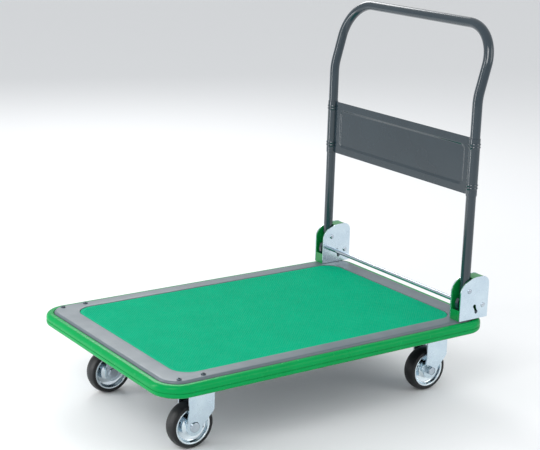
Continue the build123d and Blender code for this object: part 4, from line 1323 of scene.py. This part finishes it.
def headed_axle(x, centre_y, half_fork, head_h):
    """An axle with a head formed at each end, the rim of the head rounded over."""
    end = half_fork + head_h
    rim = half_fork + 0.9 * MM
    half = [(1 * MM, end, 0), (9.6 * MM, end, 1.3 * MM), (AXLE_HEAD_R, rim, 0.8 * MM),
            (AXLE_HEAD_R, half_fork, 0), (AXLE_R, half_fork, 0)]
    outline = [(r, -h, c) for r, h, c in half] + [(r, h, c) for r, h, c in half[::-1]]
    return turned("axle", soften(outline, closed=False), zinc_screws,
                  facing(x, centre_y, AXLE_Z, (0, 1, 0)))


axle_low, axle_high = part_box("front_axles")
front_x = (axle_low.x + axle_high.x) / 2
WHEEL_Y = (tyre_high.y + tyre_low.y) / -2
half_fork = HALF_GAP + FORK_SHEET
head_h = axle_high.y - WHEEL_Y - half_fork
axles = [headed_axle(front_x, side * WHEEL_Y, half_fork, head_h) for side in (-1, 1)]
keep(merged("riveted_front_axles", axles, zinc_screws), "deck", "zinc_plate", "front_axles")

for side, sign in (("left", -1), ("right", 1)):
    low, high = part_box("rear_axle_bolt_" + side)
    x = (low.x + high.x) / 2
    seat_y = sign * (WHEEL_Y + half_fork)
    outer_y = high.y if sign > 0 else low.y
    inner_y = low.y if sign > 0 else high.y
    reach = abs(seat_y - inner_y) - AXLE_R * END_POINT
    bolt = hex_bolt(M12_AF, abs(outer_y - seat_y), AXLE_R, reach)
    bolt.data.transform(facing(x, seat_y, AXLE_Z, (0, sign, 0)))
    bolt.name = "axle_hex_bolt_" + side
    keep(bolt, "swivel_" + side, "zinc_plate", "rear_axle_bolt_" + side)
    low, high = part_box("rear_axle_nut_" + side)
    nut = hex_nut(M12_AF, AXLE_R, high.y - low.y)
    nut.data.transform(facing(x, sign * (WHEEL_Y - half_fork), AXLE_Z, (0, -sign, 0)))
    nut.name = "axle_hex_nut_" + side
    keep(nut, "swivel_" + side, "zinc_plate", "rear_axle_nut_" + side)
print("axle height", round(AXLE_Z * 1000, 1), "mm")

# %% [markdown]
# ## Wheels
# A wheel is a rubber tyre on two pressed steel discs, riveted back to back on a hub. Tyre and
# hub are plain turned rings. The disc is a turned section too, thin sheet with a dish and a
# rolled lip, and then Geometry Nodes punch two small holes in it: pins stand on a circle, and
# one exact boolean takes them away. One wheel is made once and copied to its four places.

# %% The punching tree
def punching_tree():
    """Punch a ring of round holes along Z through a disc."""
    tree, given = tree_with("punch_holes", {
        "Holes": "NodeSocketInt", "Ring Radius": "NodeSocketFloat",
        "Hole Radius": "NodeSocketFloat", "Length": "NodeSocketFloat",
        "Finish": "NodeSocketMaterial"})
    number = add_node(tree, "GeometryNodeInputIndex").outputs[0]
    share = add_node(tree, "ShaderNodeMath", {"operation": "DIVIDE"},
                     {0: number, 1: given["Holes"]}).outputs[0]
    angle = add_node(tree, "ShaderNodeMath", {"operation": "MULTIPLY"},
                     {0: share, 1: 2 * math.pi}).outputs[0]
    reach = add_node(tree, "ShaderNodeCombineXYZ", inputs={"X": given["Ring Radius"]}).outputs[0]
    spot = add_node(tree, "ShaderNodeVectorRotate", {"rotation_type": "Z_AXIS"},
                    {"Vector": reach, "Angle": angle}).outputs[0]
    ring = add_node(tree, "GeometryNodePoints", inputs={
        "Count": given["Holes"], "Position": spot}).outputs[0]
    punch = add_node(tree, "GeometryNodeMeshCylinder", inputs={
        "Vertices": 20, "Radius": given["Hole Radius"], "Depth": given["Length"]})
    punches = add_node(tree, "GeometryNodeInstanceOnPoints", inputs={
        "Points": ring, "Instance": punch.outputs["Mesh"]}).outputs[0]
    cut = add_node(tree, "GeometryNodeMeshBoolean", {"operation": "DIFFERENCE", "solver": "EXACT"},
                   {"Mesh 1": given["Geometry"], "Mesh 2": punches})
    finish_tree(tree, cut.outputs[0], given["Finish"])
    return tree


punch_holes = punching_tree()
print("steps in the punching tree:", len(punch_holes.nodes))

# %% Tyre, discs and hub, about Z
WHEEL_R = AXLE_Z
TYRE_HALF = (tyre_high.y - tyre_low.y) / 2
LIP_R = 39.6 * MM
SEAT_R = 37 * MM
HUB_R = 11.5 * MM
HUB_BORE_R = 6.05 * MM


def tyre_profile():
    """Crowned tread, rounded shoulders, a fine step in each side, and a seat for the rim."""
    half = TYRE_HALF
    side = [(LIP_R + 0.4 * MM, half - 2.2 * MM, 0), (LIP_R + 1.2 * MM, half, 0.7 * MM),
            (LIP_R + 2.4 * MM, half, 0.5 * MM), (LIP_R + 3.0 * MM, half - 0.6 * MM, 0.5 * MM),
            (LIP_R + 4.2 * MM, half - 0.3 * MM, 0.5 * MM),
            (WHEEL_R - 3.2 * MM, half - 0.8 * MM, 4 * MM)]
    crown = []
    for step in range(1, 12):
        share = 1 - 2 * step / 12
        crown.append((WHEEL_R - 2.2 * MM * share * share, (half - 4 * MM) * share, 0))
    inner = [(SEAT_R, -(half - 2.2 * MM), 0), (SEAT_R, half - 2.2 * MM, 0)]
    corners = side + crown + [(r, -h, c) for r, h, c in side[::-1]] + inner
    return soften(corners, steps=4)


def disc_profile():
    """One pressed disc from the hub collar out over the dish to the rolled lip."""
    half = TYRE_HALF
    outer = [(11.6 * MM, half, 0.4 * MM), (13.4 * MM, half, 0.9 * MM),
             (13.6 * MM, 9.6 * MM, 2.2 * MM), (22 * MM, 6.4 * MM, 5 * MM),
             (33 * MM, 8.6 * MM, 4 * MM), (36.2 * MM, half - 1.2 * MM, 1.6 * MM),
             (LIP_R, half - 0.6 * MM, 0.6 * MM), (LIP_R, half - 2.1 * MM, 0.4 * MM)]
    inner = [(36.9 * MM, half - 2.3 * MM, 0), (36.9 * MM, 0.1 * MM, 0), (35.2 * MM, 0.1 * MM, 0),
             (35.2 * MM, half - 4.6 * MM, 1 * MM), (32.2 * MM, 6.6 * MM, 3 * MM),
             (22 * MM, 4.5 * MM, 3 * MM), (11.6 * MM, 7.6 * MM, 0)]
    return soften(outer + inner, steps=4)


HOLES = 2
PUNCH_LENGTH = 40 * MM
HOLE_R = 2.5 * MM
HOLE_RING_R = 28.5 * MM
HOLE_TURN = math.radians(20)
blank = turned("disc_blank", disc_profile(), disc_zinc, ring=True, steps=96)
blank_mesh = blank.data
bpy.data.objects.remove(blank)
disc_model = grown("punched_disc", blank_mesh, punch_holes, {
    "Holes": HOLES, "Ring Radius": HOLE_RING_R, "Hole Radius": HOLE_R, "Length": PUNCH_LENGTH,
    "Finish": disc_zinc})
tyre_model = turned("tyre_model", tyre_profile(), tyre_rubber, ring=True, steps=96)
hub_low, hub_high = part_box("hub_front_left")
hub_half = (hub_high.y - hub_low.y) / 2
hub_model = turned("hub_model", soften([
    (HUB_BORE_R, -hub_half, 0.3 * MM), (HUB_R, -hub_half, 0.8 * MM),
    (HUB_R, hub_half, 0.8 * MM), (HUB_BORE_R, hub_half, 0.3 * MM)], steps=3),
    bearing_steel, ring=True)
print("disc faces:", len(disc_model.data.polygons), "tyre faces:", len(tyre_model.data.polygons))


# %% Four wheels
def placed_copy(name, model, matrices, finish):
    """One mesh of a model at one or more places."""
    work = bmesh.new()
    for matrix in matrices:
        extra = model.data.copy()
        extra.transform(matrix)
        work.from_mesh(extra)
        bpy.data.meshes.remove(extra)
    return shade(made_from(name, work, finish))


for end in ("front", "rear"):
    for side in SIDES:
        low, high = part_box(f"tyre_{end}_{side}")
        centre = (low + high) / 2
        body = f"wheel_{end}_{side}"
        sideways = Matrix.Rotation(HOLE_TURN, 4, "Y") @ Matrix.Rotation(-math.pi / 2, 4, "X")
        out = Matrix.Translation(centre) @ sideways
        back = out @ Matrix.Rotation(math.pi, 4, "X")
        keep(placed_copy(f"moulded_tyre_{end}_{side}", tyre_model, [out], tyre_rubber), body,
             "tyre_rubber", f"tyre_{end}_{side}")
        keep(placed_copy(f"pressed_discs_{end}_{side}", disc_model, [out, back], disc_zinc), body,
             "zinc_plate", f"rim_{end}_{side}")
        keep(placed_copy(f"hub_sleeve_{end}_{side}", hub_model, [out], bearing_steel), body,
             "bearing_steel", f"hub_{end}_{side}")
for model in (disc_model, tyre_model, hub_model):
    bpy.data.objects.remove(model)
print("wheel radius", round(WHEEL_R * 1000, 1), "mm, width", round(TYRE_HALF * 2000, 1), "mm")

# %% [markdown]
# ## The stage
# A pale floor and soft light from large panels suit a painted product: panels show as broad
# clean highlights along the tube and the bumper. The camera stands three metres away at chest
# height, with a long lens, so that the deck's edges stay nearly parallel.

# %% Floor, world and lights
floor_finish = new_finish("pale_paper_floor", Roughness=0.85, Base_Color=linear("F4F5F6"))[0]
FLOOR_REACH = 60.0
floor_corners = [(x * FLOOR_REACH, y * FLOOR_REACH, 0)
                 for x, y in ((-1, -1), (1, -1), (1, 1), (-1, 1))]
floor = plain_mesh("floor", floor_corners, [(0, 1, 2, 3)], floor_finish)
world = bpy.data.worlds.new("studio")
world.use_nodes = True
world.node_tree.nodes.clear()
sky = add_node(world.node_tree, "ShaderNodeBackground",
               inputs={"Color": linear("F7F9FB"), "Strength": 0.75})
add_node(world.node_tree, "ShaderNodeOutputWorld", inputs={"Surface": sky.outputs[0]})
bpy.context.scene.world = world
bpy.context.scene.view_settings.view_transform = "Standard"


def softbox(name, place, aim, width, height, watts):
    """A flat light panel pointed at a place, that lights the cart but isn't seen itself."""
    lamp = bpy.data.lights.new(name, "AREA")
    lamp.shape = "RECTANGLE"
    lamp.size = width
    lamp.size_y = height
    lamp.energy = watts
    panel_light = bpy.data.objects.new(name, lamp)
    bpy.context.scene.collection.objects.link(panel_light)
    panel_light.location = place
    panel_light.visible_camera = False
    panel_light.rotation_euler = (Vector(aim) - Vector(place)).to_track_quat("-Z", "Y").to_euler()
    return panel_light


middle = (cad_low + cad_high) / 2
softbox("key_panel", (-2.2, -1.6, 2.6), middle, 1.6, 1.6, 46)
softbox("fill_panel", (1.9, -2.6, 1.7), middle, 1.8, 1.8, 20)
softbox("rim_panel", (0.9, 2.7, 2.3), middle, 1.4, 1.4, 34)
softbox("streak_panel", (-1.5, 0.66, 0.75), middle, 0.35, 1.5, 13)
print("stage set round", [round(v, 3) for v in middle])

# %% The camera
CAMERA_TARGET = Vector((0.00574, 0.0, 0.3861))
CAMERA_DISTANCE = 3.0212
CAMERA_AZIMUTH = math.radians(-34.964)
CAMERA_ELEVATION = math.radians(15.245)
CAMERA_ROLL = math.radians(1.744)
CAMERA_LENS = 92.11
SENSOR_WIDTH = 36


def aim_camera():
    """A camera from azimuth, elevation and roll about its target."""
    level = math.cos(CAMERA_ELEVATION)
    back = Vector((math.sin(CAMERA_AZIMUTH) * level, -math.cos(CAMERA_AZIMUTH) * level,
                   math.sin(CAMERA_ELEVATION)))
    right = Vector((math.cos(CAMERA_AZIMUTH), math.sin(CAMERA_AZIMUTH), 0))
    up = back.cross(right)
    tilted = right * math.cos(CAMERA_ROLL) + up * math.sin(CAMERA_ROLL)
    upright = up * math.cos(CAMERA_ROLL) - right * math.sin(CAMERA_ROLL)
    data = bpy.data.cameras.new("camera")
    data.lens = CAMERA_LENS
    data.sensor_width = SENSOR_WIDTH
    camera = bpy.data.objects.new("camera", data)
    bpy.context.scene.collection.objects.link(camera)
    turn = Matrix((tilted, upright, back)).transposed().to_4x4()
    camera.matrix_world = Matrix.Translation(CAMERA_TARGET + back * CAMERA_DISTANCE) @ turn
    return camera


bpy.context.scene.camera = aim_camera()
print("camera at", [round(v, 3) for v in bpy.context.scene.camera.location])

# %% Sizes, and the end
print("frame", [round(v, 4) for v in (*cad_low, *cad_high)])
